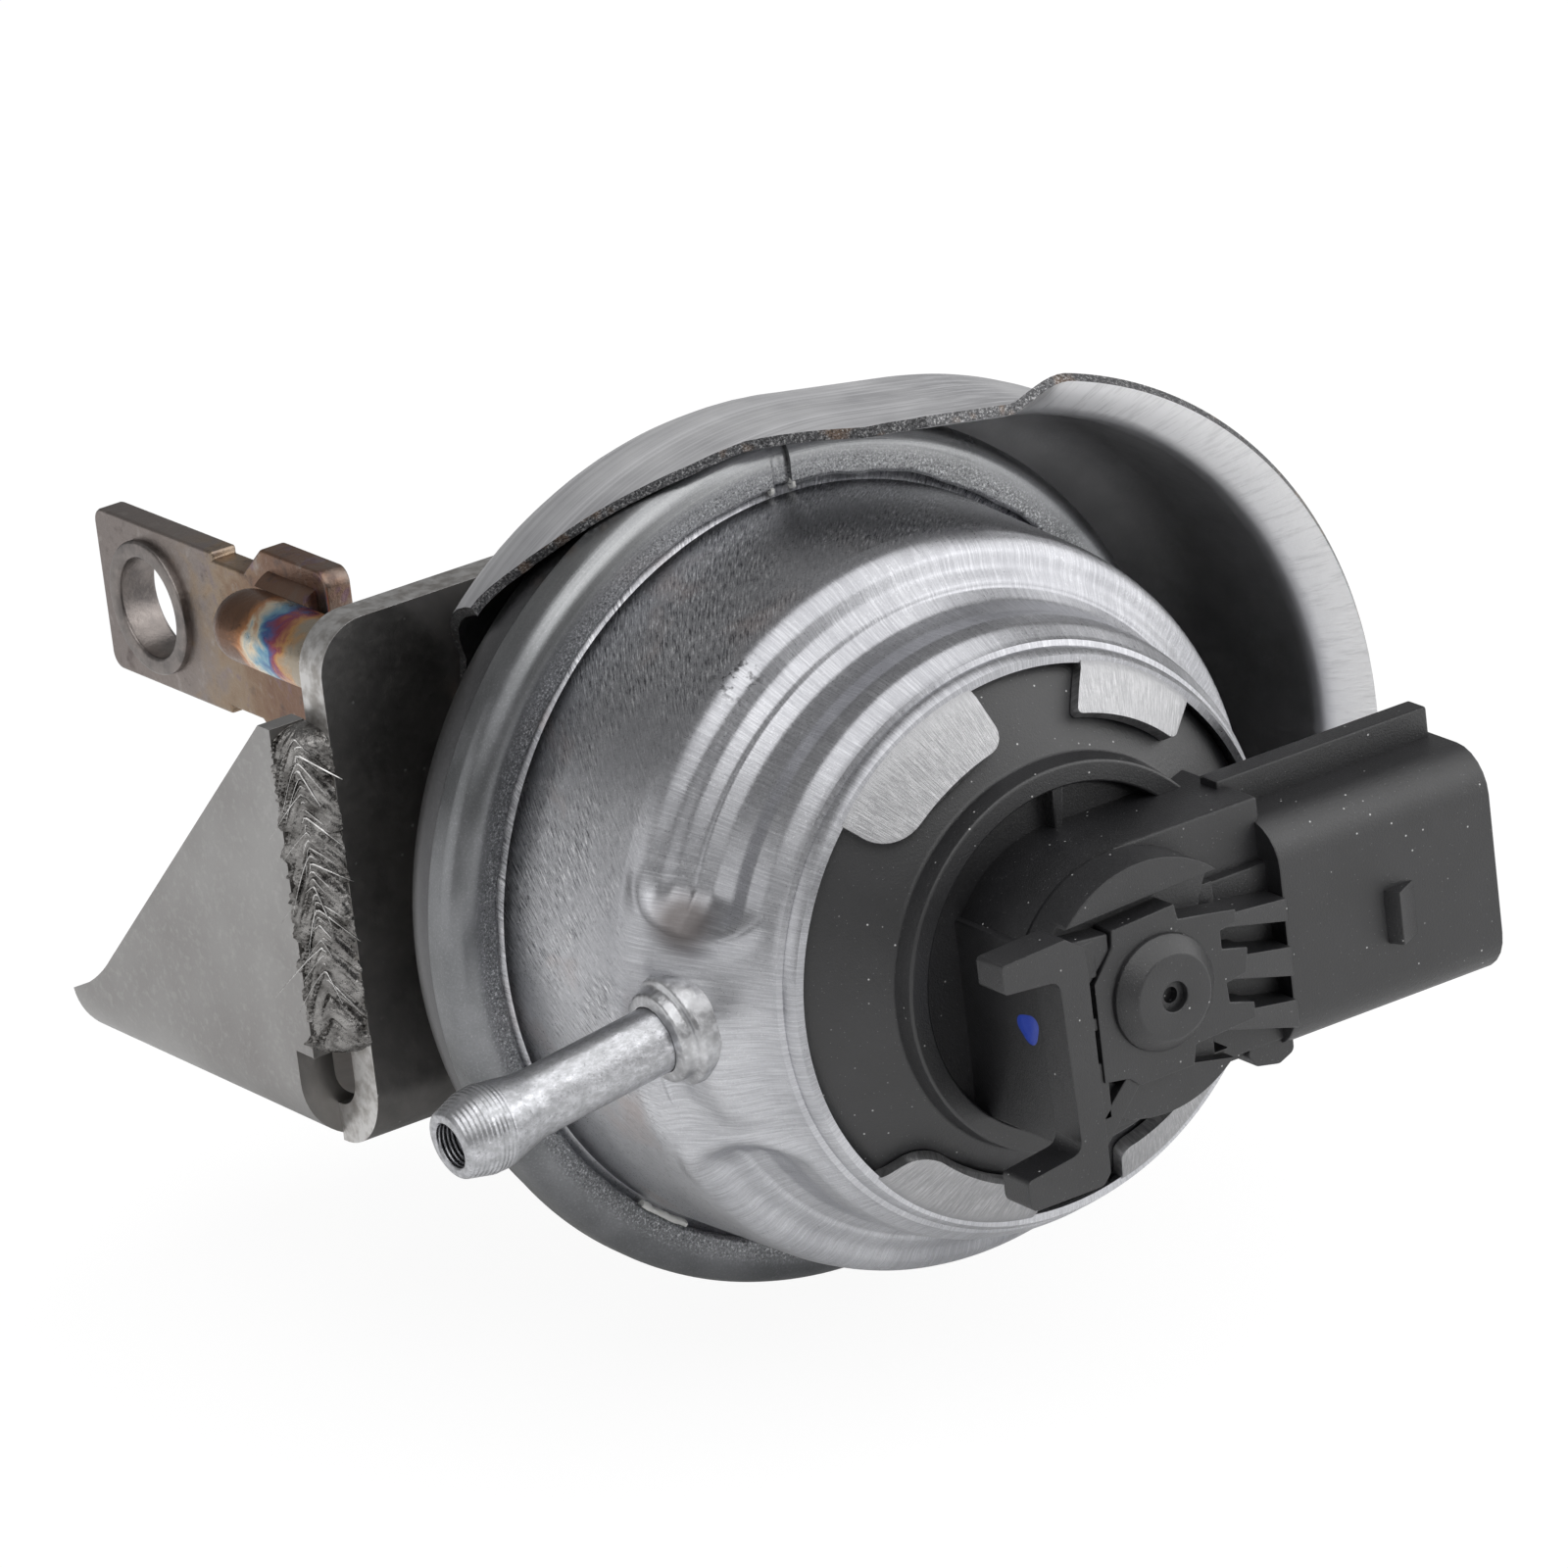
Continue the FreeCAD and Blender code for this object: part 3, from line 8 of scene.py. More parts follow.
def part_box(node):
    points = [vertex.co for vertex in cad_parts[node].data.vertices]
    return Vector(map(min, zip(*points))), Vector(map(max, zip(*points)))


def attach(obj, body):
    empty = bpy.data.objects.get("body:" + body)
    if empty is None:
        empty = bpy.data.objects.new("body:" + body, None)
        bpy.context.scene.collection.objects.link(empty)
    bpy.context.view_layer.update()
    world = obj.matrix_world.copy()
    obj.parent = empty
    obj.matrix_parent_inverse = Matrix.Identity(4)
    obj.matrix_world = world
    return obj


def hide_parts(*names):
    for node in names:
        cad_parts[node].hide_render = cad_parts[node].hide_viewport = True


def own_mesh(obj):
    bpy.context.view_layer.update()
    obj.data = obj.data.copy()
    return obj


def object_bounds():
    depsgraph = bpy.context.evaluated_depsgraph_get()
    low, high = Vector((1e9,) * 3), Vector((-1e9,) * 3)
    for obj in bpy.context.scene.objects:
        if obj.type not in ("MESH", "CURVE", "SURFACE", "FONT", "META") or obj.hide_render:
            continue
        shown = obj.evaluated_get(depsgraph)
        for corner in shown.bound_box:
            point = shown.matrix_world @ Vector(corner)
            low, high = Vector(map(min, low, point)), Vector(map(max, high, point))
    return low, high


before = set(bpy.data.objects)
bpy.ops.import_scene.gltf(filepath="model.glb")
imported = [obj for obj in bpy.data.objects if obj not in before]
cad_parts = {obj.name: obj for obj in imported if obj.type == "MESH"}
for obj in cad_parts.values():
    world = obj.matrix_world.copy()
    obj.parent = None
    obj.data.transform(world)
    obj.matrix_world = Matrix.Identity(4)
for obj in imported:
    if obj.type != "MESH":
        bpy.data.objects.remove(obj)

# Looks of a vacuum wastegate actuator with a position sensor on its front.
# Shapes are given in millimetres from the can's axis at the clamp ring's front face:
# x to the connector's side, y back along the rod, z up. Angles run from +x towards +z.

MM = 0.001
RING_LOW, RING_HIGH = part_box("crimp_ring")
CAN = Vector(((RING_LOW.x + RING_HIGH.x) / 2, RING_LOW.y, (RING_LOW.z + RING_HIGH.z) / 2))
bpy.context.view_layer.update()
TO_CAN = Matrix.Translation(CAN) @ Matrix.Scale(MM, 4)

RING_OUTER = 32.55
RING_LIP = 28.8
FLANGE = 1.15
WALL_ROOT = 28.25
WALL_FRONT = 27.6
WALL_LENGTH = 13.0
SHIELD_BACK = 17.15
SHIELD_LEFT = 33.5
SHIELD_RIGHT = 31.8
SHIELD_OFFSET = 10.6
SHIELD_CORNER = 11.5
SHIELD_SHEET = 0.8
FLARE_START = -4.1
UNCUT = -9.0
ROD_HOLE = 7.6
STUD_HOLE = 3.2
NIPPLE_SLOPE = math.radians(7.5)
NIPPLE_START = Vector((0.0, -17.1, 2.5))
SOOT = Vector((-15.4, -14.5, 22.2))
POCKET_END = Vector((-24.3, -18.0, 7.2))


# Shapes

def smooth(value, low, high):
    """A soft step from 0 at low to 1 at high."""
    t = min(max((value - low) / (high - low), 0.0), 1.0)
    return t * t * (3 - 2 * t)


def rounded(corners, radius=0.0, radii=None, steps=5, closed=True):
    """An outline with its corners rounded; radii gives some corners a radius of their own."""
    radii = radii or {}
    points = [Vector(corner) for corner in corners]
    result = []
    for i, corner in enumerate(points):
        size = radii.get(i, radius)
        if size <= 0 or (not closed and i in (0, len(points) - 1)):
            result.append(corner)
            continue
        before = (points[i - 1] - corner).normalized()
        after = (points[(i + 1) % len(points)] - corner).normalized()
        half = before.angle(after) / 2
        reach = size / math.tan(half)
        middle = corner + (before + after).normalized() * (size / math.sin(half))
        first = corner + before * reach - middle
        last = corner + after * reach - middle
        turn = math.pi - 2 * half
        for k in range(steps + 1):
            t = k / steps
            weight = [math.sin((1 - t) * turn) / math.sin(turn), math.sin(t * turn) / math.sin(turn)]
            result.append(middle + first * weight[0] + last * weight[1])
    return result


def respaced(points, count):
    """The same open line with evenly spaced points."""
    lengths = [0.0]
    for a, b in zip(points, points[1:]):
        lengths.append(lengths[-1] + (b - a).length)
    result = []
    k = 0
    for i in range(count):
        want = lengths[-1] * i / (count - 1)
        while k < len(points) - 2 and lengths[k + 1] < want:
            k += 1
        part = (want - lengths[k]) / max(lengths[k + 1] - lengths[k], 1e-9)
        result.append(points[k].lerp(points[k + 1], part))
    return result


def circle(x, radius, count=48):
    """A round outline about a point of the x axis."""
    return [(x + radius * math.cos(math.tau * k / count), radius * math.sin(math.tau * k / count))
            for k in range(count)]


def rectangle(left, right, low, high):
    return [(left, low), (right, low), (right, high), (left, high)]


def rounded_edges(part, width, sharp):
    """Round the edges that turn by more than sharp degrees."""
    limit = math.radians(sharp)
    edges = [e for e in part.edges if e.is_manifold and e.calc_face_angle() > limit]
    bmesh.ops.bevel(part, geom=edges, offset=width, segments=2, affect="EDGES", profile=0.5,
                    clamp_overlap=True)


def plain_mesh(part, name):
    """The working mesh as a plain one."""
    mesh = bpy.data.meshes.new(name)
    part.to_mesh(mesh)
    part.free()
    return mesh


def added(name, data):
    """A new object in the scene."""
    obj = bpy.data.objects.new(name, data)
    bpy.context.scene.collection.objects.link(obj)
    return obj


class Shape:
    """Gathers closed solids, drawn in the can's millimetres, into one mesh."""

    def __init__(self, name):
        self.name = name
        self.mesh = bmesh.new()

    def take(self, part, slot=0, bevel=0.0, sharp=28):
        """Close, turn outwards, bevel and add one part."""
        bmesh.ops.remove_doubles(part, verts=part.verts, dist=1e-4)
        bmesh.ops.recalc_face_normals(part, faces=part.faces)
        if bevel:
            rounded_edges(part, bevel, sharp)
        for face in part.faces:
            face.smooth = True
            if slot:
                face.material_index = slot
        store = plain_mesh(part, "part")
        self.mesh.from_mesh(store)
        bpy.data.meshes.remove(store)

    def grid(self, rows, ring=False, caps=False, stripes=None, **finish):
        """Add closed rows of points as a skin: ring joins the last row to the first, and stripes gives
        each strip between the rows' points a material of its own."""
        part = bmesh.new()
        verts = [[part.verts.new(point) for point in row] for row in rows]
        count = len(rows[0])
        for i in range(len(rows) if ring else len(rows) - 1):
            lower = verts[i]
            upper = verts[(i + 1) % len(rows)]
            for k in range(count):
                n = (k + 1) % count
                face = part.faces.new((lower[k], lower[n], upper[n], upper[k]))
                if stripes:
                    face.material_index = stripes[k]
        if caps:
            part.faces.new(verts[0])
            part.faces.new(list(reversed(verts[-1])))
        self.take(part, **finish)

    def lathe(self, profile, steps=192, sweep=360.0, centre=0.0, turn=None, **finish):
        """Turn a closed (radius, y) outline about the can's axis; profile may be a function of the angle."""
        full = sweep >= 360.0
        start = math.radians(centre - sweep / 2)
        rows = []
        for i in range(steps if full else steps + 1):
            angle = start + math.radians(sweep) * i / steps
            points = profile(math.degrees(angle)) if callable(profile) else profile
            row = [Vector((r * math.cos(angle), y, r * math.sin(angle))) for r, y in points]
            rows.append([turn @ point for point in row] if turn else row)
        self.grid(rows, ring=full, caps=not full, **finish)

    def prism(self, outline, axis, low, high, **finish):
        """Push a flat outline along x, y or z."""
        spread = {"x": lambda a, b, c: Vector((c, a, b)), "y": lambda a, b, c: Vector((a, c, b)),
                  "z": lambda a, b, c: Vector((a, b, c))}[axis]
        self.grid([[spread(a, b, level) for a, b in outline] for level in (low, high)], caps=True, **finish)

    def done(self, body, nodes, materials, sharp=35, displace=None, cut=None):
        """Make the object, put it in place, and hand it to its body."""
        if displace:
            self.mesh.normal_update()
            for vert in self.mesh.verts:
                vert.co = displace(vert.co.copy(), vert.normal.copy())
        dressed(self.moved(), self.name, body, nodes, materials, sharp, cut)

    def moved(self, move=TO_CAN):
        """The gathered mesh in metres, in its place."""
        mesh = plain_mesh(self.mesh, self.name)
        mesh.transform(move)
        return mesh

    def loose(self, move=TO_CAN):
        """A helper object for a cut or a pattern, on no body."""
        return added(self.name, self.moved(move))


def dressed(mesh, name, body, nodes, materials, sharp=35, cut=None):
    """Shade a finished mesh, give it its materials and let it ride in place of its CAD nodes."""
    obj = added(name, mesh)
    for material in materials:
        mesh.materials.append(material)
    if cut:
        knife = obj.modifiers.new("knife", "BOOLEAN")
        knife.object = cut
        knife.solver = "EXACT"
        knife.use_self = True
        flatten(obj)
        mesh = obj.data
        bpy.data.objects.remove(cut)
    mesh.set_sharp_from_angle(angle=math.radians(sharp))
    weigh = obj.modifiers.new("weigh", "WEIGHTED_NORMAL")
    weigh.keep_sharp = True
    flatten(obj)
    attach(obj, body)
    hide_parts(*nodes)
    return obj


def flatten(obj):
    """Turn the result of an object's modifiers into its plain mesh."""
    bpy.context.view_layer.update()
    graph = bpy.context.evaluated_depsgraph_get()
    mesh = bpy.data.meshes.new_from_object(obj.evaluated_get(graph), preserve_all_data_layers=True,
                                           depsgraph=graph)
    obj.modifiers.clear()
    old = obj.data
    obj.data = mesh
    bpy.data.meshes.remove(old)


def copied(node):
    """A CAD node's mesh with its points joined, as a working mesh."""
    part = bmesh.new()
    part.from_mesh(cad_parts[node].data)
    bmesh.ops.remove_doubles(part, verts=part.verts, dist=2e-6)
    return part


def softened(node, name, body, materials, edge, pick=None):
    """A copy of a CAD node with its sharp edges rounded; pick(spot, normal) gives a face its material."""
    part = copied(node)
    bmesh.ops.dissolve_limit(part, angle_limit=math.radians(0.4), verts=part.verts, edges=part.edges)
    rounded_edges(part, edge * MM, 40)
    for face in part.faces:
        face.smooth = True
        face.material_index = 0
        if pick:
            face.material_index = pick((face.calc_center_median() - CAN) / MM, face.normal)
    dressed(plain_mesh(part, name), name, body, [node], materials)


# Trees that repeat a piece along a path, or run a wire along it

class Grower:
    """A small geometry tree with named inputs."""

    def __init__(self, name, **inputs):
        self.tree = bpy.data.node_groups.new(name, "GeometryNodeTree")
        self.tree.interface.new_socket("Path", in_out="INPUT", socket_type="NodeSocketGeometry")
        self.keys = {}
        for key, kind in inputs.items():
            socket = self.tree.interface.new_socket(key, in_out="INPUT", socket_type="NodeSocket" + kind)
            self.keys[key] = socket.identifier
        self.tree.interface.new_socket("Geometry", in_out="OUTPUT", socket_type="NodeSocketGeometry")
        self.given = self.tree.nodes.new("NodeGroupInput").outputs

    def node(self, kind, **inputs):
        node = self.tree.nodes.new(kind)
        for key, value in inputs.items():
            socket = next(s for s in node.inputs if s.enabled and s.name == key.replace("_", " "))
            if isinstance(value, bpy.types.NodeSocket):
                self.tree.links.new(value, socket)
            else:
                socket.default_value = value
        return node

    def end(self, geometry):
        """Realise what was instanced, shade it smooth, give it its finish."""
        real = self.node("GeometryNodeRealizeInstances", Geometry=geometry)
        soft = self.node("GeometryNodeSetShadeSmooth", Geometry=real.outputs[0])
        finish = self.node("GeometryNodeSetMaterial", Geometry=soft.outputs[0], Material=self.given["Finish"])
        self.node("NodeGroupOutput", Geometry=finish.outputs[0])
        return self


def named(sockets, name):
    return next(s for s in sockets if s.name == name)


def strand_grower():
    """Sets a small pattern piece along a path, each a little tilted and sized."""
    g = Grower("strands_along_path", Strand="Object", Pitch="Float", Tilt="Float", Smallest="Float",
               Largest="Float", Seed="Int", Finish="Material")
    link = g.tree.links.new
    curve = g.node("GeometryNodeMeshToCurve", Mesh=g.given["Path"])
    spaced = g.node("GeometryNodeResampleCurve", Curve=curve.outputs[0])
    spaced.mode = "LENGTH"
    link(g.given["Pitch"], named(spaced.inputs, "Length"))
    info = g.node("GeometryNodeObjectInfo", Object=g.given["Strand"])
    least = g.node("ShaderNodeMath", Value=g.given["Tilt"])
    least.operation = "MULTIPLY"
    least.inputs[1].default_value = -1.0
    turn = g.node("FunctionNodeRandomValue")
    turn.data_type = "FLOAT_VECTOR"
    link(least.outputs[0], turn.inputs[0])
    link(g.given["Tilt"], turn.inputs[1])
    size = g.node("FunctionNodeRandomValue")
    link(g.given["Smallest"], size.inputs[2])
    link(g.given["Largest"], size.inputs[3])
    for dice in (turn, size):
        link(g.given["Seed"], named(dice.inputs, "Seed"))
    placed = g.node("GeometryNodeInstanceOnPoints", Points=spaced.outputs[0],
                    Instance=named(info.outputs, "Geometry"))
    link(turn.outputs[0], named(placed.inputs, "Rotation"))
    link(size.outputs[1], named(placed.inputs, "Scale"))
    return g.end(placed.outputs[0])


def wire_grower():
    """Runs a round wire along a path, its thickness rippling by the given share."""
    g = Grower("wire_along_path", Radius="Float", Ripple="Float", Pitch="Float", Seed="Int",
               Finish="Material")
    link = g.tree.links.new
    curve = g.node("GeometryNodeMeshToCurve", Mesh=g.given["Path"])
    where = g.node("GeometryNodeInputPosition")
    near = g.node("ShaderNodeVectorMath")
    near.operation = "DIVIDE"
    link(where.outputs[0], near.inputs[0])
    link(g.given["Pitch"], near.inputs[1])
    wave = g.node("ShaderNodeTexNoise")
    wave.noise_dimensions = "4D"
    link(near.outputs[0], wave.inputs["Vector"])
    link(g.given["Seed"], wave.inputs["W"])
    wave.inputs["Scale"].default_value = 1.0
    share = g.node("ShaderNodeMapRange")
    link(wave.outputs[0], share.inputs["Value"])
    share.inputs["From Min"].default_value = 0.3
    share.inputs["From Max"].default_value = 0.7
    share.inputs["To Min"].default_value = 1.0
    grown_by = g.node("ShaderNodeMath")
    grown_by.inputs[0].default_value = 1.0
    link(g.given["Ripple"], grown_by.inputs[1])
    link(grown_by.outputs[0], share.inputs["To Max"])
    thick = g.node("ShaderNodeMath")
    thick.operation = "MULTIPLY"
    link(g.given["Radius"], thick.inputs[0])
    link(share.outputs[0], thick.inputs[1])
    sized = g.node("GeometryNodeSetCurveRadius", Curve=curve.outputs[0])
    link(thick.outputs[0], named(sized.inputs, "Radius"))
    section = g.node("GeometryNodeCurvePrimitiveCircle", Resolution=8)
    next(s for s in section.inputs if s.enabled and s.name == "Radius").default_value = 1.0
    tube = g.node("GeometryNodeCurveToMesh", Curve=sized.outputs[0])
    link(section.outputs[0], tube.inputs["Profile Curve"])
    tube.inputs["Fill Caps"].default_value = True
    if "Scale" in tube.inputs:
        link(g.node("GeometryNodeInputRadius").outputs[0], tube.inputs["Scale"])
    return g.end(tube.outputs[0])


STRANDS = strand_grower()
WIRE = wire_grower()


def grown(name, lines, grower, body, slot, **values):
    """Feed lines of points, in the can's millimetres, to a tree and keep the result as a plain mesh."""
    mesh = bpy.data.meshes.new(name)
    points = [CAN + point * MM for line in lines for point in line]
    edges = []
    start = 0
    for line in lines:
        edges += [(start + k, start + k + 1) for k in range(len(line) - 1)]
        start += len(line)
    mesh.from_pydata(points, edges, [])
    obj = added(name, mesh)
    tree = obj.modifiers.new("grow", "NODES")
    tree.node_group = grower.tree
    for key, value in values.items():
        tree[grower.keys[key]] = value
    flatten(obj)
    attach(obj, body)


# Materials

class Finish:
    """One procedural material; its patterns read the object's coordinates in millimetres."""

    def __init__(self, name, colour, metallic=1.0, roughness=0.4):
        self.material = bpy.data.materials.new(name)
        self.material.use_nodes = True
        self.tree = self.material.node_tree
        self.shader = self.tree.nodes["Principled BSDF"]
        self.shader.inputs["Metallic"].default_value = metallic
        self.shader.inputs["Roughness"].default_value = roughness
        self.shader.inputs["Base Color"].default_value = (*colour, 1.0)
        self.coordinates = self.tree.nodes.new("ShaderNodeTexCoord").outputs["Object"]

    def node(self, kind, **inputs):
        node = self.tree.nodes.new("ShaderNode" + kind)
        for key, value in inputs.items():
            self.feed(node.inputs[key.replace("_", " ")], value)
        return node

    def feed(self, socket, value):
        if isinstance(value, bpy.types.NodeSocket):
            self.tree.links.new(value, socket)
        elif hasattr(value, "__len__") and socket.type == "RGBA":
            socket.default_value = (*value, 1.0)[:4]
        else:
            socket.default_value = value

    def place(self, stretch=(1, 1, 1), centre=None):
        """The object's coordinates in millimetres from the can's axis, stretched along each axis."""
        base = CAN if centre is None else centre
        move = self.node("VectorMath")
        move.operation = "SUBTRACT"
        self.feed(move.inputs[0], self.coordinates)
        self.feed(move.inputs[1], base)
        node = self.node("Mapping", Vector=move.outputs[0], Scale=[part / MM for part in stretch])
        return node.outputs[0]

    def math(self, kind, a, b=0.0, clamp=False):
        node = self.node("Math")
        node.operation = kind
        node.use_clamp = clamp
        self.feed(node.inputs[0], a)
        self.feed(node.inputs[1], b)
        return node.outputs[0]

    def times(self, a, b, clamp=False):
        return self.math("MULTIPLY", a, b, clamp)

    def parts(self, vector):
        """A vector's x, y and z."""
        return self.node("SeparateXYZ", Vector=vector).outputs

    def from_spot(self, where, spot):
        """The distance from one spot."""
        node = self.node("VectorMath", Vector=where)
        node.operation = "DISTANCE"
        node.inputs[1].default_value = spot
        return node.outputs["Value"]

    def around(self, spin=28.0, radial=1.0, along=1.0):
        """Coordinates that follow a turned surface: arc length, radius and y."""
        split = self.parts(self.place())
        angle = self.math("ARCTAN2", split[2], split[0])
        squares = self.math("ADD", self.times(split[0], split[0]),
                            self.times(split[2], split[2]))
        radius = self.math("SQRT", squares)
        join = self.node("CombineXYZ", X=self.times(angle, spin),
                         Y=self.times(radius, radial),
                         Z=self.times(split[1], along))
        return join.outputs[0]

    def grain(self, where, scale, detail=3.0, roughness=0.6, distortion=0.0):
        node = self.node("TexNoise", Vector=where, Scale=scale, Detail=detail, Roughness=roughness,
                         Distortion=distortion)
        return node.outputs[0]

    def span(self, value, low, high, start=0.0, end=1.0, soft=False):
        node = self.node("MapRange", Value=value)
        node.interpolation_type = "SMOOTHSTEP" if soft else "LINEAR"
        for key, number in zip(("From Min", "From Max", "To Min", "To Max"), (low, high, start, end)):
            self.feed(node.inputs[key], number)
        return node.outputs[0]

    def blend(self, amount, first, second):
        node = self.node("Mix")
        node.data_type = "RGBA"
        self.feed(node.inputs[0], amount)
        self.feed(node.inputs[6], first)
        self.feed(node.inputs[7], second)
        return node.outputs[2]

    def ramp(self, value, stops):
        """Colours along a value, each stop given as (value, colour) in rising order."""
        low, high = stops[0][0], stops[-1][0]
        node = self.node("ValToRGB", Fac=self.span(value, low, high))
        bar = node.color_ramp.elements
        while len(bar) < len(stops):
            bar.new(0.5)
        for element, (place, colour) in zip(bar, stops):
            element.position = (place - low) / (high - low)
        for element, (place, colour) in zip(bar, stops):
            element.color = (*colour, 1.0)
        return node.outputs[0]

    def speckle(self, where, size, share):
        """Small dots: 1 on about the given share of cells."""
        cells = self.node("TexVoronoi", Vector=where, Scale=1.0 / size)
        pick = self.parts(cells.outputs["Color"])[0]
        near = self.span(cells.outputs["Distance"], 0.42, 0.18)
        return self.times(near, self.span(pick, 1.0 - share, 1.0 - share + 0.002))

    def bump(self, height, depth, chain=None):
        """Depth is in millimetres."""
        node = self.node("Bump", Height=height, Distance=depth * MM)
        if chain:
            self.feed(node.inputs["Normal"], chain)
        return node.outputs[0]

    def set(self, **values):
        for key, value in values.items():
            self.feed(self.shader.inputs[key.replace("_", " ")], value)
        return self.material


def can_finish():
    """Zinc plated sheet: specks and short strokes on the wall, crosswise brushing on the shoulders, and
    painted shade that darkens it towards the top.
    """
    f = Finish("can_zinc", (0.62, 0.63, 0.65), 1.0, 0.33)
    place = f.place()
    split = f.parts(place)
    shoulder = f.span(split[1], -13.0, -15.0, soft=True)
    wall = f.math("SUBTRACT", 1.0, shoulder)
    # high marks the top of the can, where painted shade darkens the sheet below.
    high = f.span(split[2], -8.0, 16.0, soft=True)
    cloud = f.grain(place, 0.09, 3.0, 0.6)
    turned = f.parts(f.around())
    across = f.math("ADD", f.times(turned[0], 0.74), f.times(turned[2], 0.67))
    along = f.math("SUBTRACT", f.times(turned[0], 0.67), f.times(turned[2], 0.74))
    slant = f.node("CombineXYZ", X=f.times(across, 6.5), Y=f.times(along, 0.8))
    strokes = f.grain(slant.outputs[0], 1.0, 4.0, 0.75)
    scuffed = f.times(wall, f.span(f.grain(place, 0.11, 2.0), 0.42, 0.58, 0.25, 1.0))
    scuffed = f.times(scuffed, f.span(split[2], -14.0, 2.0, 0.15, 1.0))
    crosswise = f.grain(f.around(200.0, 0.3, 0.3), 1.0, 3.0, 0.75)
    specks = f.grain(place, 5.0, 3.0, 0.75)
    coarse = f.grain(place, 2.6, 3.0, 0.7)
    colour = f.blend(f.span(cloud, 0.35, 0.65), (0.46, 0.465, 0.49), (0.62, 0.625, 0.65))
    # Painted shade: the sheet darkened towards its top.
    colour = f.blend(f.times(high, 0.5), colour, (0.30, 0.30, 0.32))
    bright = f.times(f.span(specks, 0.56, 0.72), f.span(cloud, 0.40, 0.60, 0.15, 0.6))
    colour = f.blend(bright, colour, (0.88, 0.89, 0.92))
    dark = f.times(f.span(coarse, 0.42, 0.28), f.math("ADD", f.times(wall, 0.35), 0.15))
    colour = f.blend(dark, colour, (0.16, 0.16, 0.17))
    warm = f.times(f.span(f.grain(place, 0.14, 3.0, 0.5, 0.5), 0.56, 0.70, 0.0, 0.35),
                   f.times(wall, f.span(split[0], -4.0, -14.0)))
    colour = f.blend(warm, colour, (0.55, 0.42, 0.38))
    colour = f.blend(f.times(f.span(strokes, 0.48, 0.38), scuffed), colour, (0.10, 0.10, 0.11))
    colour = f.blend(f.times(f.span(strokes, 0.54, 0.64), scuffed), colour, (0.92, 0.92, 0.94))
    brushed = f.span(crosswise, 0.35, 0.65, -0.5, 0.5)
    brushed = f.times(brushed, shoulder)
    colour = f.blend(f.times(brushed, 0.5, clamp=True), colour, (0.90, 0.91, 0.94))
    colour = f.blend(f.times(brushed, -0.6, clamp=True), colour, (0.25, 0.25, 0.27))
    stain = f.span(f.from_spot(place, POCKET_END), 3.4, 1.0, 0.0, 0.85, soft=True)
    colour = f.blend(stain, colour, (0.12, 0.105, 0.10))
    soot = f.times(f.span(f.from_spot(place, SOOT), 2.6, 0.8, 0.0, 0.8),
                   f.span(f.grain(place, 1.9, 2.0), 0.54, 0.64))
    colour = f.blend(soot, colour, (0.03, 0.03, 0.03))
    rough = f.math("ADD", f.span(specks, 0.3, 0.7, 0.25, 0.38), f.times(stain, 0.2))
    relief = f.bump(f.times(strokes, scuffed), 0.03)
    relief = f.bump(f.times(crosswise, shoulder), 0.012, relief)
    relief = f.bump(specks, 0.008, relief)
    return f.set(Base_Color=colour, Roughness=rough, Normal=relief)


def tab_finish():
    """The bent tabs: bright and brushed towards the axis, grey at their roots."""
    f = Finish("tab_zinc", (0.66, 0.66, 0.67), 1.0, 0.42)
    turned = f.around()
    radius = f.parts(turned)[1]
    strokes = f.grain(f.around(160.0, 0.5, 0.5), 1.0, 4.0, 0.75)
    spots = f.grain(f.place(), 1.3, 4.0, 0.7)
    root = f.span(f.math("ADD", radius, f.span(spots, 0.3, 0.7, -0.5, 0.5)), 19.9, 20.9)
    colour = f.blend(f.span(spots, 0.35, 0.62), (0.55, 0.55, 0.56), (0.70, 0.70, 0.71))
    colour = f.blend(f.span(strokes, 0.42, 0.62, 0.0, 0.7), (0.36, 0.36, 0.37), colour)
    colour = f.blend(root, colour, (0.42, 0.42, 0.43))
    relief = f.bump(strokes, 0.07)
    relief = f.bump(spots, 0.06, relief)
    return f.set(Base_Color=colour, Roughness=f.span(strokes, 0.3, 0.7, 0.32, 0.50), Normal=relief)


def plain_steel(name, dark, pale, roughness=0.4, grain=4.0, depth=0.015, cloud=0.1):
    """Bare or plated steel with cloudy tone and fine grain."""
    f = Finish(name, pale, 1.0, roughness)
    place = f.place()
    tone = f.grain(place, cloud, 3.0)
    fine = f.grain(place, grain, 3.0, 0.65)
    colour = f.blend(f.span(tone, 0.35, 0.65), dark, pale)
    colour = f.blend(f.span(fine, 0.5, 0.75, 0.0, 0.35), colour, [min(1.0, part * 1.5) for part in pale])
    rough = f.span(fine, 0.3, 0.7, roughness - 0.06, roughness + 0.08)
    return f.set(Base_Color=colour, Roughness=rough, Normal=f.bump(fine, depth))


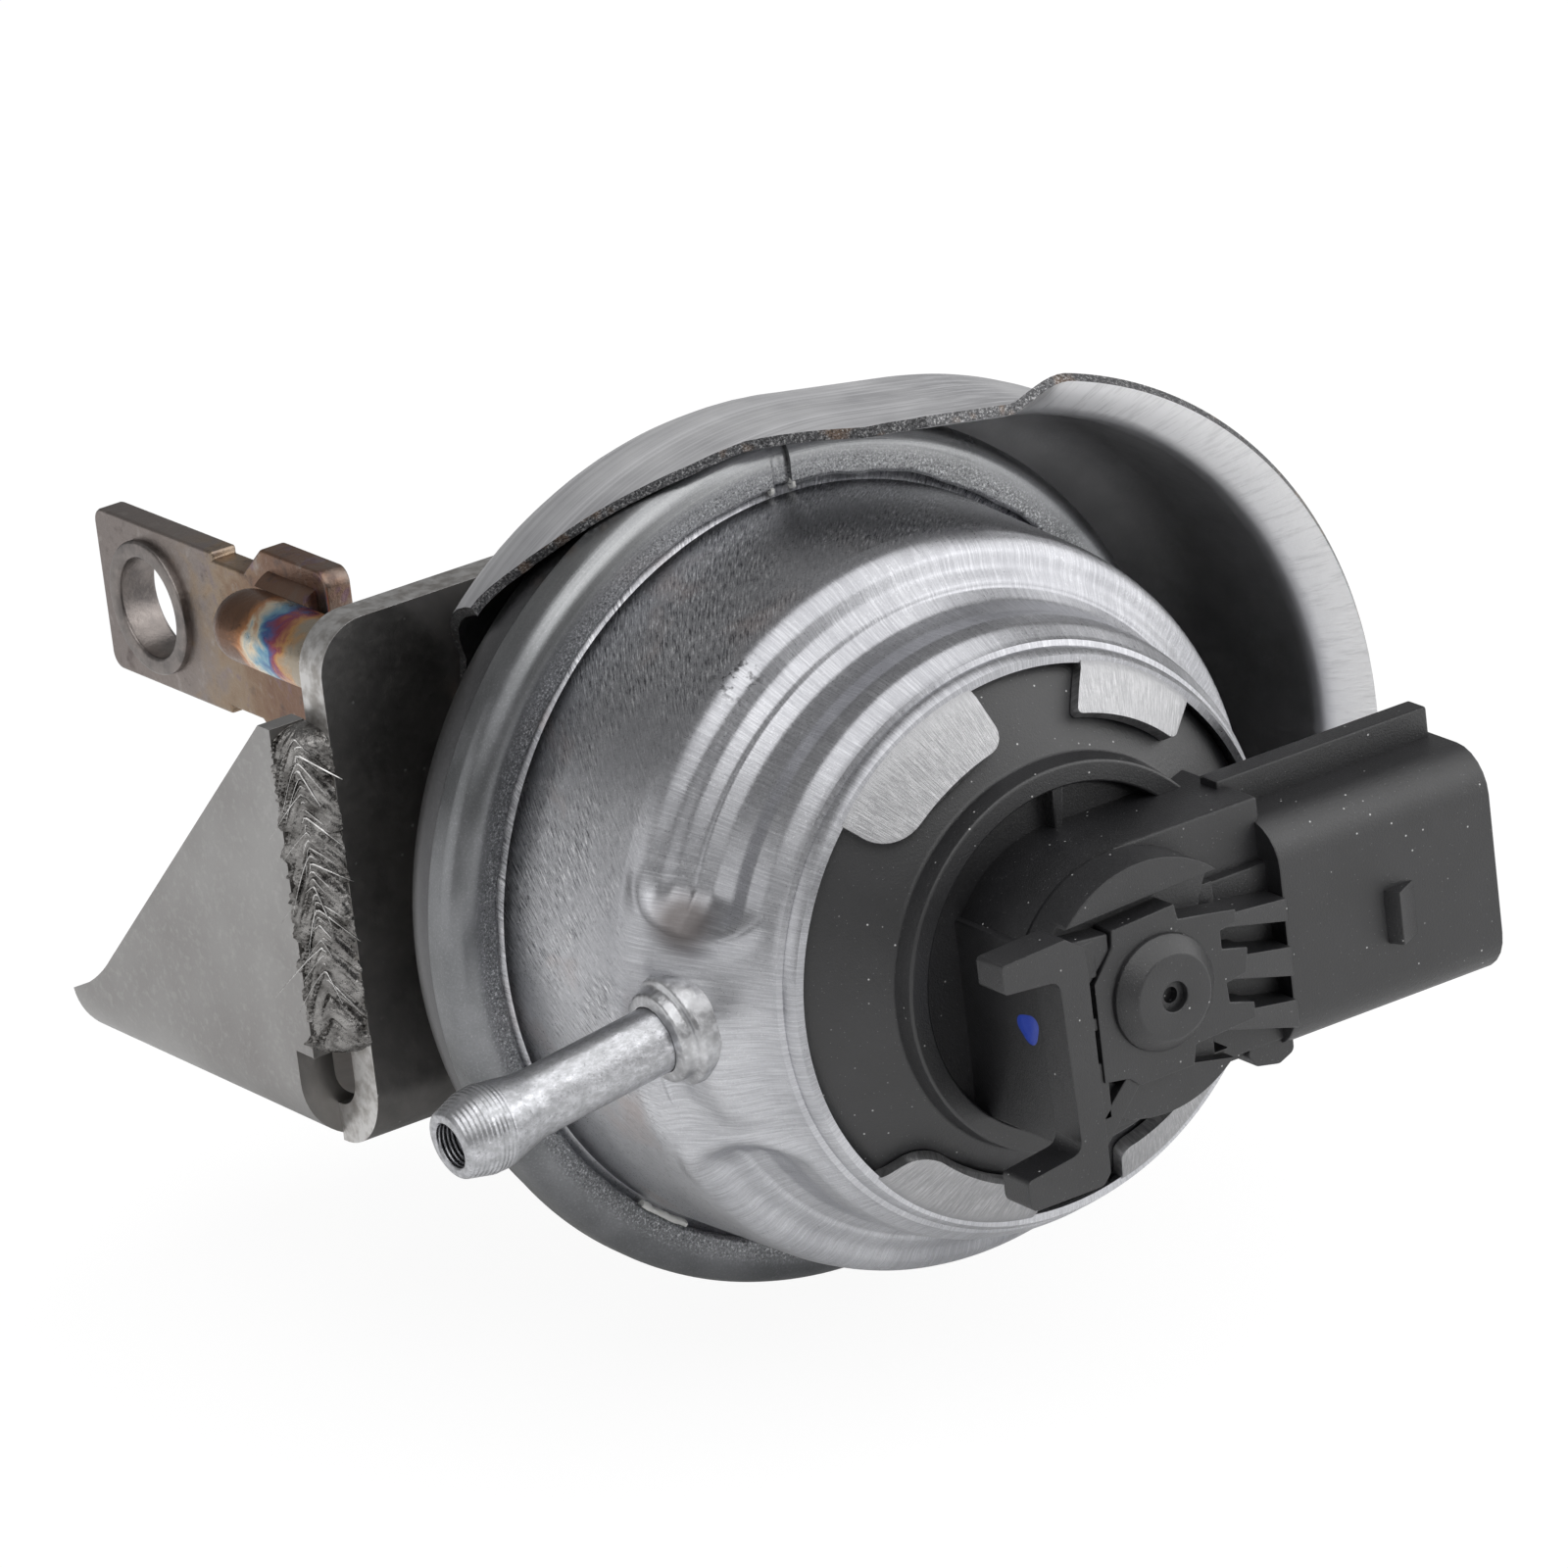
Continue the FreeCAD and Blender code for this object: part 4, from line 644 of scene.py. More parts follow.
def ring_finish():
    """The clamp ring: dark smooth steel, grainy at its lip, and rubbed along its top, where a painted
    highlight lightens it.
    """
    f = Finish("ring_steel", (0.24, 0.245, 0.25), 1.0, 0.32)
    place = f.place()
    split = f.parts(place)
    radius = f.parts(f.around())[1]
    # Painted highlight: the ring lightened along its top, carried on the rubbed strokes there.
    painted_light_top = f.times(f.span(split[2], 18.0, 29.0, soft=True), 0.8)
    lip = f.span(radius, 31.0, 29.6, soft=True)
    grain = f.grain(place, 5.5, 4.0, 0.8)
    cloud = f.grain(place, 0.12, 3.0)
    strokes = f.grain(f.around(0.7, 3.0, 0.5), 1.0, 3.0, 0.7)
    colour = f.blend(f.span(cloud, 0.35, 0.65), (0.16, 0.165, 0.17), (0.25, 0.255, 0.265))
    colour = f.blend(f.times(painted_light_top, f.span(strokes, 0.35, 0.65, 0.35, 0.9)), colour, (0.42, 0.425, 0.43))
    sparkle = f.math("ADD", f.times(lip, 0.75), 0.12)
    colour = f.blend(f.times(f.span(grain, 0.54, 0.66), sparkle), colour, (0.80, 0.81, 0.83))
    colour = f.blend(f.times(f.span(grain, 0.46, 0.36), sparkle), colour, (0.04, 0.04, 0.045))
    relief = f.bump(f.times(grain, sparkle), 0.05)
    relief = f.bump(f.times(strokes, painted_light_top), 0.02, relief)
    return f.set(Base_Color=colour, Roughness=f.span(cloud, 0.3, 0.7, 0.26, 0.34), Normal=relief)


def shield_finish():
    """The shield's inside: charcoal, with strokes across the bright lip."""
    f = Finish("shield_inside", (0.45, 0.45, 0.46), 1.0, 0.35)
    split = f.parts(f.place())
    lip = f.span(split[1], -4.5, -6.0, soft=True)
    cloud = f.grain(f.place(), 0.12, 3.0)
    strokes = f.grain(f.around(90.0, 0.25, 0.3), 1.0, 3.0, 0.7)
    colour = f.blend(f.span(cloud, 0.35, 0.65), (0.38, 0.38, 0.39), (0.48, 0.48, 0.49))
    colour = f.blend(lip, colour, (0.95, 0.95, 0.96))
    colour = f.blend(f.times(f.span(strokes, 0.50, 0.34, 0.0, 0.5), lip), colour, (0.62, 0.62, 0.63))
    fine = f.grain(f.place(), 4.0, 3.0)
    relief = f.bump(f.times(strokes, lip), 0.02)
    relief = f.bump(fine, 0.012, relief)
    return f.set(Base_Color=colour, Roughness=f.span(strokes, 0.3, 0.7, 0.30, 0.42), Normal=relief)


def shield_outer_finish():
    """The shield's outside: dull stainless sheet with long soft streaks, and painted shade that darkens it
    towards the left.
    """
    f = Finish("shield_outside", (0.55, 0.55, 0.56), 0.45, 0.5)
    streaks = f.grain(f.around(0.12, 0.6, 2.2), 1.0, 4.0, 0.65)
    cloud = f.grain(f.place(), 0.10, 3.0)
    colour = f.blend(f.span(cloud, 0.35, 0.65), (0.34, 0.34, 0.355), (0.52, 0.52, 0.53))
    colour = f.blend(f.span(streaks, 0.45, 0.7, 0.0, 0.6), colour, (0.72, 0.72, 0.74))
    # Painted shade: the sheet darkened towards the left.
    across = f.parts(f.place())[0]
    colour = f.blend(f.span(across, -8.0, -24.0, 0.0, 0.55), colour, (0.20, 0.20, 0.21))
    return f.set(Base_Color=colour, Roughness=f.span(streaks, 0.3, 0.7, 0.38, 0.55),
                 Normal=f.bump(streaks, 0.03))


def shield_edge_finish():
    """The shield's cut edge: dark and torn, with copper tint and bright burrs."""
    f = Finish("shield_edge", (0.2, 0.19, 0.18), 1.0, 0.4)
    tooth = f.grain(f.place(), 5.0, 3.0, 0.8)
    tint = f.grain(f.place(), 0.35, 2.0)
    colour = f.blend(f.span(tint, 0.56, 0.65), (0.12, 0.12, 0.125), (0.20, 0.15, 0.12))
    colour = f.blend(f.span(tooth, 0.54, 0.64, 0.0, 0.8), colour, (0.55, 0.55, 0.55))
    colour = f.blend(f.span(tooth, 0.48, 0.40, 0.0, 0.8), colour, (0.04, 0.04, 0.04))
    return f.set(Base_Color=colour, Roughness=f.span(tooth, 0.3, 0.7, 0.30, 0.5), Normal=f.bump(tooth, 0.04))


def nipple_finish():
    """The pipe's zinc: bright and dull patches, and fine turned lines at its tip."""
    f = Finish("nipple_zinc", (0.6, 0.6, 0.62), 1.0, 0.34)
    place = f.place()
    split = f.parts(place)
    patch = f.grain(f.place((0.9, 1.5, 1.5)), 1.3, 4.0, 0.75)
    fine = f.grain(place, 3.5, 3.0, 0.7)
    tip = f.span(split[0], -41.0, -42.5, soft=True)
    turned = f.node("TexWave", Vector=f.place((1.0, 0.0, 0.13)), Scale=0.9, Distortion=0.6)
    colour = f.blend(f.span(patch, 0.42, 0.60), (0.42, 0.425, 0.44), (0.56, 0.565, 0.59))
    colour = f.blend(f.span(patch, 0.60, 0.70, 0.0, 0.5), colour, (0.82, 0.82, 0.85))
    colour = f.blend(f.span(fine, 0.42, 0.30, 0.0, 0.5), colour, (0.16, 0.16, 0.17))
    relief = f.bump(fine, 0.02)
    relief = f.bump(f.times(turned.outputs[0], tip), 0.04, relief)
    return f.set(Base_Color=colour, Roughness=f.span(patch, 0.3, 0.7, 0.40, 0.26), Normal=relief)


def scale_finish():
    """Dark mill scale on the bracket's wall: smooth, nearly black, slightly brown, with a little dust, and
    painted light that makes it lighter towards its upper left.
    """
    f = Finish("mill_scale", (0.09, 0.085, 0.08), 1.0, 0.38)
    place = f.place()
    cloud = f.grain(place, 0.10, 4.0, 0.6, 0.4)
    mottle = f.grain(place, 1.6, 4.0, 0.7)
    split = f.parts(place)
    colour = f.blend(f.span(cloud, 0.35, 0.65), (0.17, 0.165, 0.16), (0.28, 0.27, 0.26))
    colour = f.blend(f.span(mottle, 0.52, 0.75, 0.0, 0.35), colour, (0.30, 0.28, 0.26))
    # Painted light: the wall made lighter towards its upper left.
    painted_light_top = f.times(f.span(split[2], 8.0, 24.0, soft=True),
                   f.span(split[0], -20.0, -32.0, soft=True))
    colour = f.blend(f.times(painted_light_top, 0.7), colour, (0.44, 0.43, 0.42))
    dust = f.speckle(place, 0.4, 0.006)
    colour = f.blend(f.times(dust, 0.6), colour, (0.75, 0.75, 0.74))
    relief = f.bump(mottle, 0.02)
    return f.set(Base_Color=colour, Roughness=f.span(mottle, 0.3, 0.7, 0.32, 0.44), Normal=relief)


def ground_finish():
    """The bright ground edge of the cut sheet."""
    f = Finish("ground_edge", (0.62, 0.61, 0.60), 1.0, 0.34)
    strokes = f.grain(f.place((3.0, 0.25, 0.25)), 1.0, 3.0)
    spots = f.grain(f.place(), 0.9, 3.0)
    colour = f.blend(f.span(spots, 0.35, 0.6), (0.40, 0.38, 0.36), (0.68, 0.67, 0.66))
    return f.set(Base_Color=colour, Roughness=f.span(strokes, 0.3, 0.7, 0.28, 0.44),
                 Normal=f.bump(strokes, 0.03))


def plastic_finish():
    """Charcoal moulded plastic with a fine texture and a little pale dust."""
    f = Finish("sensor_plastic", (0.010, 0.010, 0.011), 0.0, 0.42)
    f.shader.inputs["Specular IOR Level"].default_value = 0.85
    place = f.place()
    fine = f.grain(place, 6.0, 3.0, 0.7)
    cloud = f.grain(place, 0.2, 3.0)
    colour = f.blend(f.span(cloud, 0.35, 0.65), (0.005, 0.005, 0.006), (0.009, 0.009, 0.0105))
    dust = f.speckle(place, 0.22, 0.006)
    fleck = f.speckle(f.place(centre=CAN + Vector((3, 1, 2)) * MM), 0.11, 0.02)
    colour = f.blend(f.times(dust, 0.8), colour, (0.6, 0.6, 0.6))
    colour = f.blend(f.times(fleck, 0.35), colour, (0.3, 0.3, 0.3))
    relief = f.bump(fine, 0.035)
    return f.set(Base_Color=colour, Roughness=f.span(fine, 0.3, 0.7, 0.36, 0.46), Normal=relief)


def rubber_finish():
    f = Finish("rubber", (0.025, 0.025, 0.026), 0.0, 0.7)
    return f.set(Normal=f.bump(f.grain(f.place(), 3.0), 0.03))


def sealant_finish():
    f = Finish("sealant", (0.62, 0.62, 0.60), 0.0, 0.45)
    return f.set(Normal=f.bump(f.grain(f.place(), 2.5), 0.08))


def paint_finish():
    f = Finish("blue_paint", (0.02, 0.05, 0.35), 0.0, 0.4)
    return f.set(Roughness=f.span(f.grain(f.place(), 2.0), 0.3, 0.7, 0.3, 0.5))


def link_finish():
    """The link's plate: brown grey with dark spots, straw and purple near the weld."""
    f = Finish("link_steel", (0.34, 0.30, 0.27), 1.0, 0.36)
    place = f.place()
    tone = f.grain(place, 0.35, 4.0, 0.65)
    near = f.grain(place, 0.5, 3.0, 0.5, 0.6)
    split = f.parts(place)
    along = f.math("ADD", split[1], f.span(near, 0.3, 0.7, -3.0, 3.0))
    colour = f.ramp(along, (
        (66.0, (0.24, 0.22, 0.20)), (74.0, (0.24, 0.15, 0.11)), (80.0, (0.22, 0.13, 0.09)),
        (84.0, (0.27, 0.18, 0.12)), (88.0, (0.33, 0.25, 0.18)), (93.0, (0.28, 0.24, 0.22)),
        (108.0, (0.24, 0.21, 0.20))))
    colour = f.blend(f.span(tone, 0.42, 0.28, 0.0, 0.8), colour, (0.10, 0.075, 0.07))
    colour = f.blend(f.span(tone, 0.58, 0.72, 0.0, 0.6), colour, (0.44, 0.40, 0.38))
    violet = f.times(f.span(near, 0.58, 0.66, 0.0, 0.5), f.span(split[1], 92.0, 84.0))
    colour = f.blend(violet, colour, (0.20, 0.13, 0.20))
    fine = f.grain(place, 2.5, 4.0, 0.7)
    return f.set(Base_Color=colour, Roughness=f.span(fine, 0.3, 0.7, 0.28, 0.46), Normal=f.bump(fine, 0.05))


def tempered_finish():
    """The rod's end: bands of heat colour beside the weld."""
    f = Finish("rod_steel", (0.34, 0.30, 0.27), 1.0, 0.30)
    place = f.place()
    near = f.grain(place, 0.45, 3.0, 0.5, 0.6)
    split = f.parts(place)
    along = f.math("ADD", split[1], f.span(near, 0.3, 0.7, -1.3, 1.3))
    colour = f.ramp(along, (
        (60.0, (0.34, 0.33, 0.32)), (68.0, (0.42, 0.36, 0.28)), (69.8, (0.62, 0.34, 0.14)),
        (70.9, (0.34, 0.08, 0.12)), (72.0, (0.08, 0.16, 0.38)), (73.0, (0.24, 0.44, 0.56)),
        (74.2, (0.80, 0.70, 0.54)), (75.4, (0.55, 0.26, 0.12)), (76.8, (0.20, 0.11, 0.07)),
        (84.0, (0.12, 0.085, 0.07))))
    fine = f.grain(place, 2.5, 3.0)
    return f.set(Base_Color=colour, Roughness=f.span(fine, 0.3, 0.7, 0.24, 0.40), Normal=f.bump(fine, 0.03))


CAN_ZINC = can_finish()
TAB_ZINC = tab_finish()
REAR_STEEL = plain_steel("rear_steel", (0.12, 0.12, 0.125), (0.16, 0.16, 0.165), 0.34)
RING_STEEL = ring_finish()
SHIELD_STEEL = shield_finish()
SHIELD_OUTER = shield_outer_finish()
SHIELD_EDGE = shield_edge_finish()
MILL_SCALE = scale_finish()
GROUND_EDGE = ground_finish()
GUSSET_STEEL = plain_steel("gusset_steel", (0.30, 0.29, 0.285), (0.40, 0.395, 0.39), 0.38, 1.6, 0.02, 0.05)
NIPPLE_ZINC = nipple_finish()
SOLDER = plain_steel("solder", (0.36, 0.36, 0.37), (0.60, 0.605, 0.62), 0.34, 2.0, 0.03, 0.5)
WELD_METAL = plain_steel("weld_metal", (0.10, 0.095, 0.09), (0.36, 0.35, 0.34), 0.24, 3.0, 0.08, 0.6)
# The weld's ripple strands are near white: a painted highlight on the ripple crests.
PAINTED_STRAND_GLINT = plain_steel("weld_strands_painted_glint", (0.45, 0.44, 0.43), (0.92, 0.91, 0.90), 0.24, 2.0, 0.04, 0.6)
EYELET_STEEL = plain_steel("eyelet_steel", (0.16, 0.145, 0.14), (0.28, 0.25, 0.235), 0.34, 2.5, 0.03, 0.4)
LINK_STEEL = link_finish()
ROD_STEEL = tempered_finish()
PLASTIC = plastic_finish()
RUBBER = rubber_finish()
SEALANT = sealant_finish()
BRIGHT_ZINC = plain_steel("bright_zinc", (0.55, 0.55, 0.53), (0.72, 0.72, 0.70), 0.32)
DARK_HOLE = plain_steel("dark_hole", (0.03, 0.03, 0.03), (0.05, 0.05, 0.05), 0.6)
BRASS = plain_steel("pin_brass", (0.60, 0.50, 0.30), (0.75, 0.64, 0.42), 0.3)
SPRING_STEEL = plain_steel("spring_steel", (0.25, 0.25, 0.26), (0.40, 0.40, 0.41), 0.35)
BRONZE = plain_steel("bush_bronze", (0.42, 0.32, 0.20), (0.58, 0.45, 0.28), 0.5, 6.0)
BOARD = plain_steel("board_green", (0.03, 0.12, 0.06), (0.05, 0.20, 0.10), 0.5)
BLUE_PAINT = paint_finish()


# The front can

NOSE = [(21.95, -24.4), (21.8, -24.75), (21.6, -24.85), (21.4, -24.95), (21.35, -25.5), (21.0, -26.05),
        (20.4, -26.1), (20.4, -23.2), (16.0, -23.2), (16.0, -21.9), (21.0, -21.9), (22.4, -16.2),
        (26.2, -14.9), (26.6, -13.0), (27.1, 0.4), (27.3, 2.0), (30.6, 2.0), (30.6, FLANGE)]
STEPPED = rounded([(WALL_FRONT, -WALL_LENGTH), (27.3, -14.9), (26.3, -15.75), (25.3, -16.1), (24.6, -16.8),
                   (24.3, -17.05), (24.0, -17.1), (23.2, -18.2), (22.85, -20.0), (23.0, -21.8), (22.7, -23.2),
                   (21.95, -24.4)],
                  radii={1: 2.4, 2: 1.0, 3: 1.2, 4: 0.3, 5: 0.12, 6: 0.15, 7: 1.4, 8: 2.5, 9: 1.5, 10: 1.6},
                  closed=False)
PLAIN = rounded([(WALL_FRONT, -WALL_LENGTH), (27.3, -15.2), (25.2, -18.6), (23.3, -22.0), (21.95, -24.4)],
                radii={1: 5.0, 2: 9.0, 3: 5.0}, closed=False)
SECTION_POINTS = 80
TABS = (((42.5, 71.5), (45.5, 76.5), 4.6, (0.7, 0.5)), ((99.5, 138.5), (98.5, 139.0), 5.3, (1.6, 3.0)),
        ((219.5, 261.0), (221.0, 262.0), 4.6, (2.0, 1.2)), ((284.0, 316.0), (282.0, 318.0), 4.6, (1.0, 1.0)))
STEP_CENTRE = 4.5
STEP_HALF = 149.0
STEP_END = 5.6
POCKET_RADIUS = 26.0
PAD_ANGLE = 187.5
PAD_RADIUS = 25.3
RIM_HEIGHT = 0.42


def off_angle(angle, centre):
    """The degrees between two directions."""
    return abs((angle - centre + 180.0) % 360.0 - 180.0)


def can_profile(angle):
    """The can's outline at one angle: the step fades out beside the nipple."""
    off = off_angle(angle, STEP_CENTRE)
    root = rounded([(30.6, FLANGE), (WALL_ROOT, FLANGE), (WALL_FRONT, -WALL_LENGTH)], radii={1: 0.6},
                   closed=False)
    stepped = respaced(STEPPED, SECTION_POINTS)
    plain = respaced(PLAIN, SECTION_POINTS)
    middle = []
    beyond = max(0.0, math.radians(off - STEP_HALF) * POCKET_RADIUS)
    for k, (a, b) in enumerate(zip(plain, stepped)):
        across = (k / (SECTION_POINTS - 1) * 2 - 1) * STEP_END
        far = math.hypot(across, beyond) / STEP_END
        end = math.sqrt(max(0.0, STEP_END ** 2 - across ** 2)) + 0.5
        run = plain[min(k + 1, SECTION_POINTS - 1)] - plain[max(k - 1, 0)]
        rim = RIM_HEIGHT * math.exp(-((far - 1.0) / 0.17) ** 2) * smooth(beyond, 0.0, 3.5)
        rim *= 1 - smooth(abs(across), 3.4, 5.5)
        out = Vector((-run.y, run.x)).normalized()
        out = out if out.x > 0 else -out
        middle.append(a.lerp(b, 1 - smooth(beyond / end, 0.35, 1.0)) + out * rim)
    hold = 1 - smooth(off_angle(angle, PAD_ANGLE), 6.5, 17.0)
    for spot in middle:
        reach = smooth(-spot.y, 12.5, 16.5) * (1 - smooth(-spot.y, 19.0, 23.4))
        spot.x += (PAD_RADIUS - spot.x) * hold * reach
    return [tuple(p) for p in respaced(root, 12)[:-1] + middle[:-1]] + NOSE[:-1]


def tab(shape, root, tip, length, corner):
    """One tab of the can's lip, bent in over the sensor; root and tip give the angles of its sides."""
    outer = Vector((21.15, -25.95))
    inward = Vector((-4.7, -2.95)).normalized()
    sheet = inward.orthogonal().normalized()
    sheet = sheet if sheet.y > 0 else -sheet
    across = 20
    levels = [length * k / 8 for k in range(8)] + [length - corner[1] * (1 - math.sin(math.radians(a)))
                                                   for a in range(0, 91, 10)]
    levels = sorted(set(round(level, 4) for level in levels if level <= length))
    loops = []
    for level in levels:
        share = level / length
        sides = []
        for k in (0, 1):
            angle = root[k] + (tip[k] - root[k]) * share
            rest = max(0.0, corner[k] - (length - level))
            inset = corner[k] - math.sqrt(max(0.0, corner[k] ** 2 - rest ** 2))
            radius = outer.x + inward.x * level
            sides.append(angle + (1, -1)[k] * math.degrees(inset / radius))
        lift = 0.5 * max(0.0, 1 - level / 1.4) ** 2
        skins = [[], []]
        for depth in (0, 1):
            for k in range(across + 1):
                angle = math.radians(sides[0] + (sides[1] - sides[0]) * k / across)
                crown = 0.12 * (1 - (2 * k / across - 1) ** 2)
                spot = outer + inward * level + sheet * (lift - crown + depth * 1.0)
                skins[depth].append(Vector((spot.x * math.cos(angle), spot.y, spot.x * math.sin(angle))))
        loops.append(skins[0] + list(reversed(skins[1])))
    shape.grid(loops, caps=True, bevel=0.15, sharp=50, slot=1)


def make_upper_can():
    shape = Shape("can_shell")
    shape.lathe(can_profile, steps=480)
    for root, tip, length, corner in TABS:
        tab(shape, root, tip, length, corner)
    shape.done("housing", ["upper_can"], [CAN_ZINC, TAB_ZINC], sharp=40)


def make_crimp_ring():
    shape = Shape("clamp_ring")
    wall = 1.1
    outline = rounded([(RING_LIP, 0.05), (RING_OUTER, 0.0), (RING_OUTER, 3.8), (RING_OUTER - wall, 3.8),
                       (RING_OUTER - wall, wall), (RING_LIP, wall)],
                      radii={0: 0.35, 1: 2.1, 2: 0.3, 4: 1.0}, steps=8)
    gap = math.degrees(1.7 / 30.7)
    shape.lathe(outline, steps=300, sweep=360 - gap, centre=-90.0)

    def rolled(spot, normal):
        radius = math.hypot(spot.x, spot.z)
        share = 1 - smooth(radius, RING_LIP, RING_LIP + 1.6)
        wave = noise.noise(spot * 0.22) * 0.3 + noise.noise(spot * 0.8) * 0.08
        return spot + Vector((spot.x, 0.0, spot.z)) / radius * wave * share

    shape.done("housing", ["crimp_ring"], [RING_STEEL], sharp=50, displace=rolled)
    shape = Shape("split_sealant")
    inner = rounded([(RING_LIP + 0.15, 0.45), (RING_OUTER - 0.25, 0.4), (RING_OUTER - 0.25, 3.7),
                     (RING_OUTER - 0.9, 3.7), (RING_OUTER - 1.1, 1.0), (RING_LIP + 0.15, 0.95)],
                    radii={0: 0.2, 1: 1.9}, steps=8)
    shape.lathe(inner, steps=12, sweep=gap, centre=90.0)
    for angle, sweep, size in ((88.2, 0.5, 0.45), (91.9, 0.4, 0.4), (232.0, 9.0, 0.35), (258.0, 5.0, 0.3)):
        smear = [(RING_LIP - 0.05 + a, 0.55 + 1.4 * b) for a, b in circle(0.0, size, 10)]
        shape.lathe(smear, steps=40, sweep=sweep, centre=angle, slot=1)

    def lumpy(spot, normal):
        return spot + normal * noise.noise(spot * 1.6) * 0.16

    shape.done("housing", [], [RING_STEEL, SEALANT], sharp=60, displace=lumpy)


def make_lower_can():
    shape = Shape("rear_can")
    outline = rounded([(5.25, 16.3), (20.0, 16.3), (28.15, 11.6), (32.15, 6.5), (32.15, 3.86), (30.0, 3.86),
                       (30.0, 5.0), (27.0, 10.8), (19.6, 15.2), (5.25, 15.2)],
                      radii={1: 3.0, 2: 12.0, 3: 5.0, 7: 8.0}, steps=8)
    shape.lathe(outline, steps=256)
    shape.done("housing", ["lower_can"], [REAR_STEEL])


# The heat shield

def egg(step, count):
    """Point and outward normal at one step around the shield's outline."""
    slant = math.acos((SHIELD_LEFT - SHIELD_RIGHT) / SHIELD_OFFSET)
    run = math.sqrt(SHIELD_OFFSET ** 2 - (SHIELD_LEFT - SHIELD_RIGHT) ** 2)
    lengths = [SHIELD_RIGHT * 2 * slant, run, SHIELD_LEFT * 2 * (math.pi - slant), run]
    want = sum(lengths) * step / count
    right = Vector((SHIELD_OFFSET, 0))
    if want < lengths[0]:
        angle = want / SHIELD_RIGHT - slant
        normal = Vector((math.cos(angle), math.sin(angle)))
        return right + normal * SHIELD_RIGHT, normal
    want -= lengths[0]
    if want < lengths[1]:
        normal = Vector((math.cos(slant), math.sin(slant)))
        return (right + normal * SHIELD_RIGHT).lerp(normal * SHIELD_LEFT, want / lengths[1]), normal
    want -= lengths[1]
    if want < lengths[2]:
        angle = slant + want / SHIELD_LEFT
        normal = Vector((math.cos(angle), math.sin(angle)))
        return normal * SHIELD_LEFT, normal
    want -= lengths[2]
    normal = Vector((math.cos(slant), -math.sin(slant)))
    return (normal * SHIELD_LEFT).lerp(right + normal * SHIELD_RIGHT, want / lengths[3]), normal


def trim_line(x):
    """The y of the shield's front edge where it is cut away at the upper left."""
    spots = [(-26.0, 8.6), (-22.3, 8.15), (-19.5, 5.9), (-17.4, 4.6), (-14.6, 3.3), (-11.2, 1.7), (-7.7, 0.3),
             (-5.0, -0.2), (-3.2, -0.5), (-0.6, -2.1), (1.8, -3.6), (4.1, -5.0), (6.0, -5.9), (8.0, -6.6)]
    for (a, low), (b, high) in zip(spots, spots[1:]):
        if x < b:
            return low + (high - low) * (x - a) / (b - a)
    return UNCUT


def shield_column(flare, stop):
    """The outside of the shield at one place of its outline: distance outwards from the outline, and y."""
    bend = SHIELD_BACK - SHIELD_CORNER
    line = [Vector((-SHIELD_CORNER, SHIELD_BACK))]
    line += [Vector((SHIELD_CORNER * (math.sin(math.radians(a)) - 1),
                     bend + SHIELD_CORNER * math.cos(math.radians(a)))) for a in range(9, 90, 9)]
    line += [Vector((0.0, bend - (bend - FLARE_START) * k / 6)) for k in range(7)]
    lip = rounded([(0.0, FLARE_START), (0.0, -4.6), (0.85, -5.5), (1.9, -6.5), (2.6, -7.05), (2.85, -7.2)],
                  0.7, radii={2: 2.5, 3: 3.0}, closed=False, steps=4)
    line += [Vector((p.x * flare, p.y)) for p in lip[1:]]
    kept = [line[0]]
    for a, b in zip(line, line[1:]):
        if b.y < stop:
            kept.append(a.lerp(b, (a.y - stop) / (a.y - b.y)))
            break
        kept.append(b)
    return kept


def make_heat_shield():
    count = 400
    loops = []
    for i in range(count):
        point, normal = egg(i, count)
        angle = math.degrees(math.atan2(normal.y, normal.x))
        flare = 1 - smooth(abs(angle - 15), 58, 70)
        stop = trim_line(point.x) if angle > 60 else UNCUT
        line = shield_column(flare, stop)
        outside = [line[0]] + respaced(line[1:], 44)
        inside = []
        for k, spot in enumerate(outside):
            run = outside[min(k + 1, len(outside) - 1)] - outside[max(k - 1, 0)]
            inside.append(spot + Vector((run.y, -run.x)).normalized() * SHIELD_SHEET)
        inside[0] = outside[0] - Vector((0.0, SHIELD_SHEET))
        loop = []
        for out, y in outside + inside[::-1]:
            spot = point + normal * out
            loop.append(Vector((spot.x, y, spot.y)))
        hub = point * 0.2
        loop = [Vector((hub.x, SHIELD_BACK, hub.y))] + loop
        loop.append(Vector((hub.x, SHIELD_BACK - SHIELD_SHEET, hub.y)))
        loops.append(loop)
    skin = len(loops[0]) // 2
    stripes = [1] * (skin - 1) + [0] + [2] * (skin - 1) + [1]
    shape = Shape("shield")
    shape.grid(loops, ring=True, stripes=stripes)
    shape.done("housing", ["heat_shield"], [SHIELD_EDGE, SHIELD_OUTER, SHIELD_STEEL],
               sharp=45, cut=shield_cutter())


def shield_cutter():
    """What is cut away below, at the left, and for the rod and the studs."""
    shape = Shape("cutter")
    outline = [(-19.0, 17.7), (-22.5, 24.3), (-60, 61), (-60, -60), (60, -60), (60, -18), (-19, -18)]
    shape.prism(outline, "y", -30, 30)
    for x, radius in ((0.0, ROD_HOLE), (-STUD_OFFSET, STUD_HOLE), (STUD_OFFSET, STUD_HOLE)):
        shape.prism(circle(x, radius), "y", 10, 30)
    return shape.loose()


# The bracket and its weld

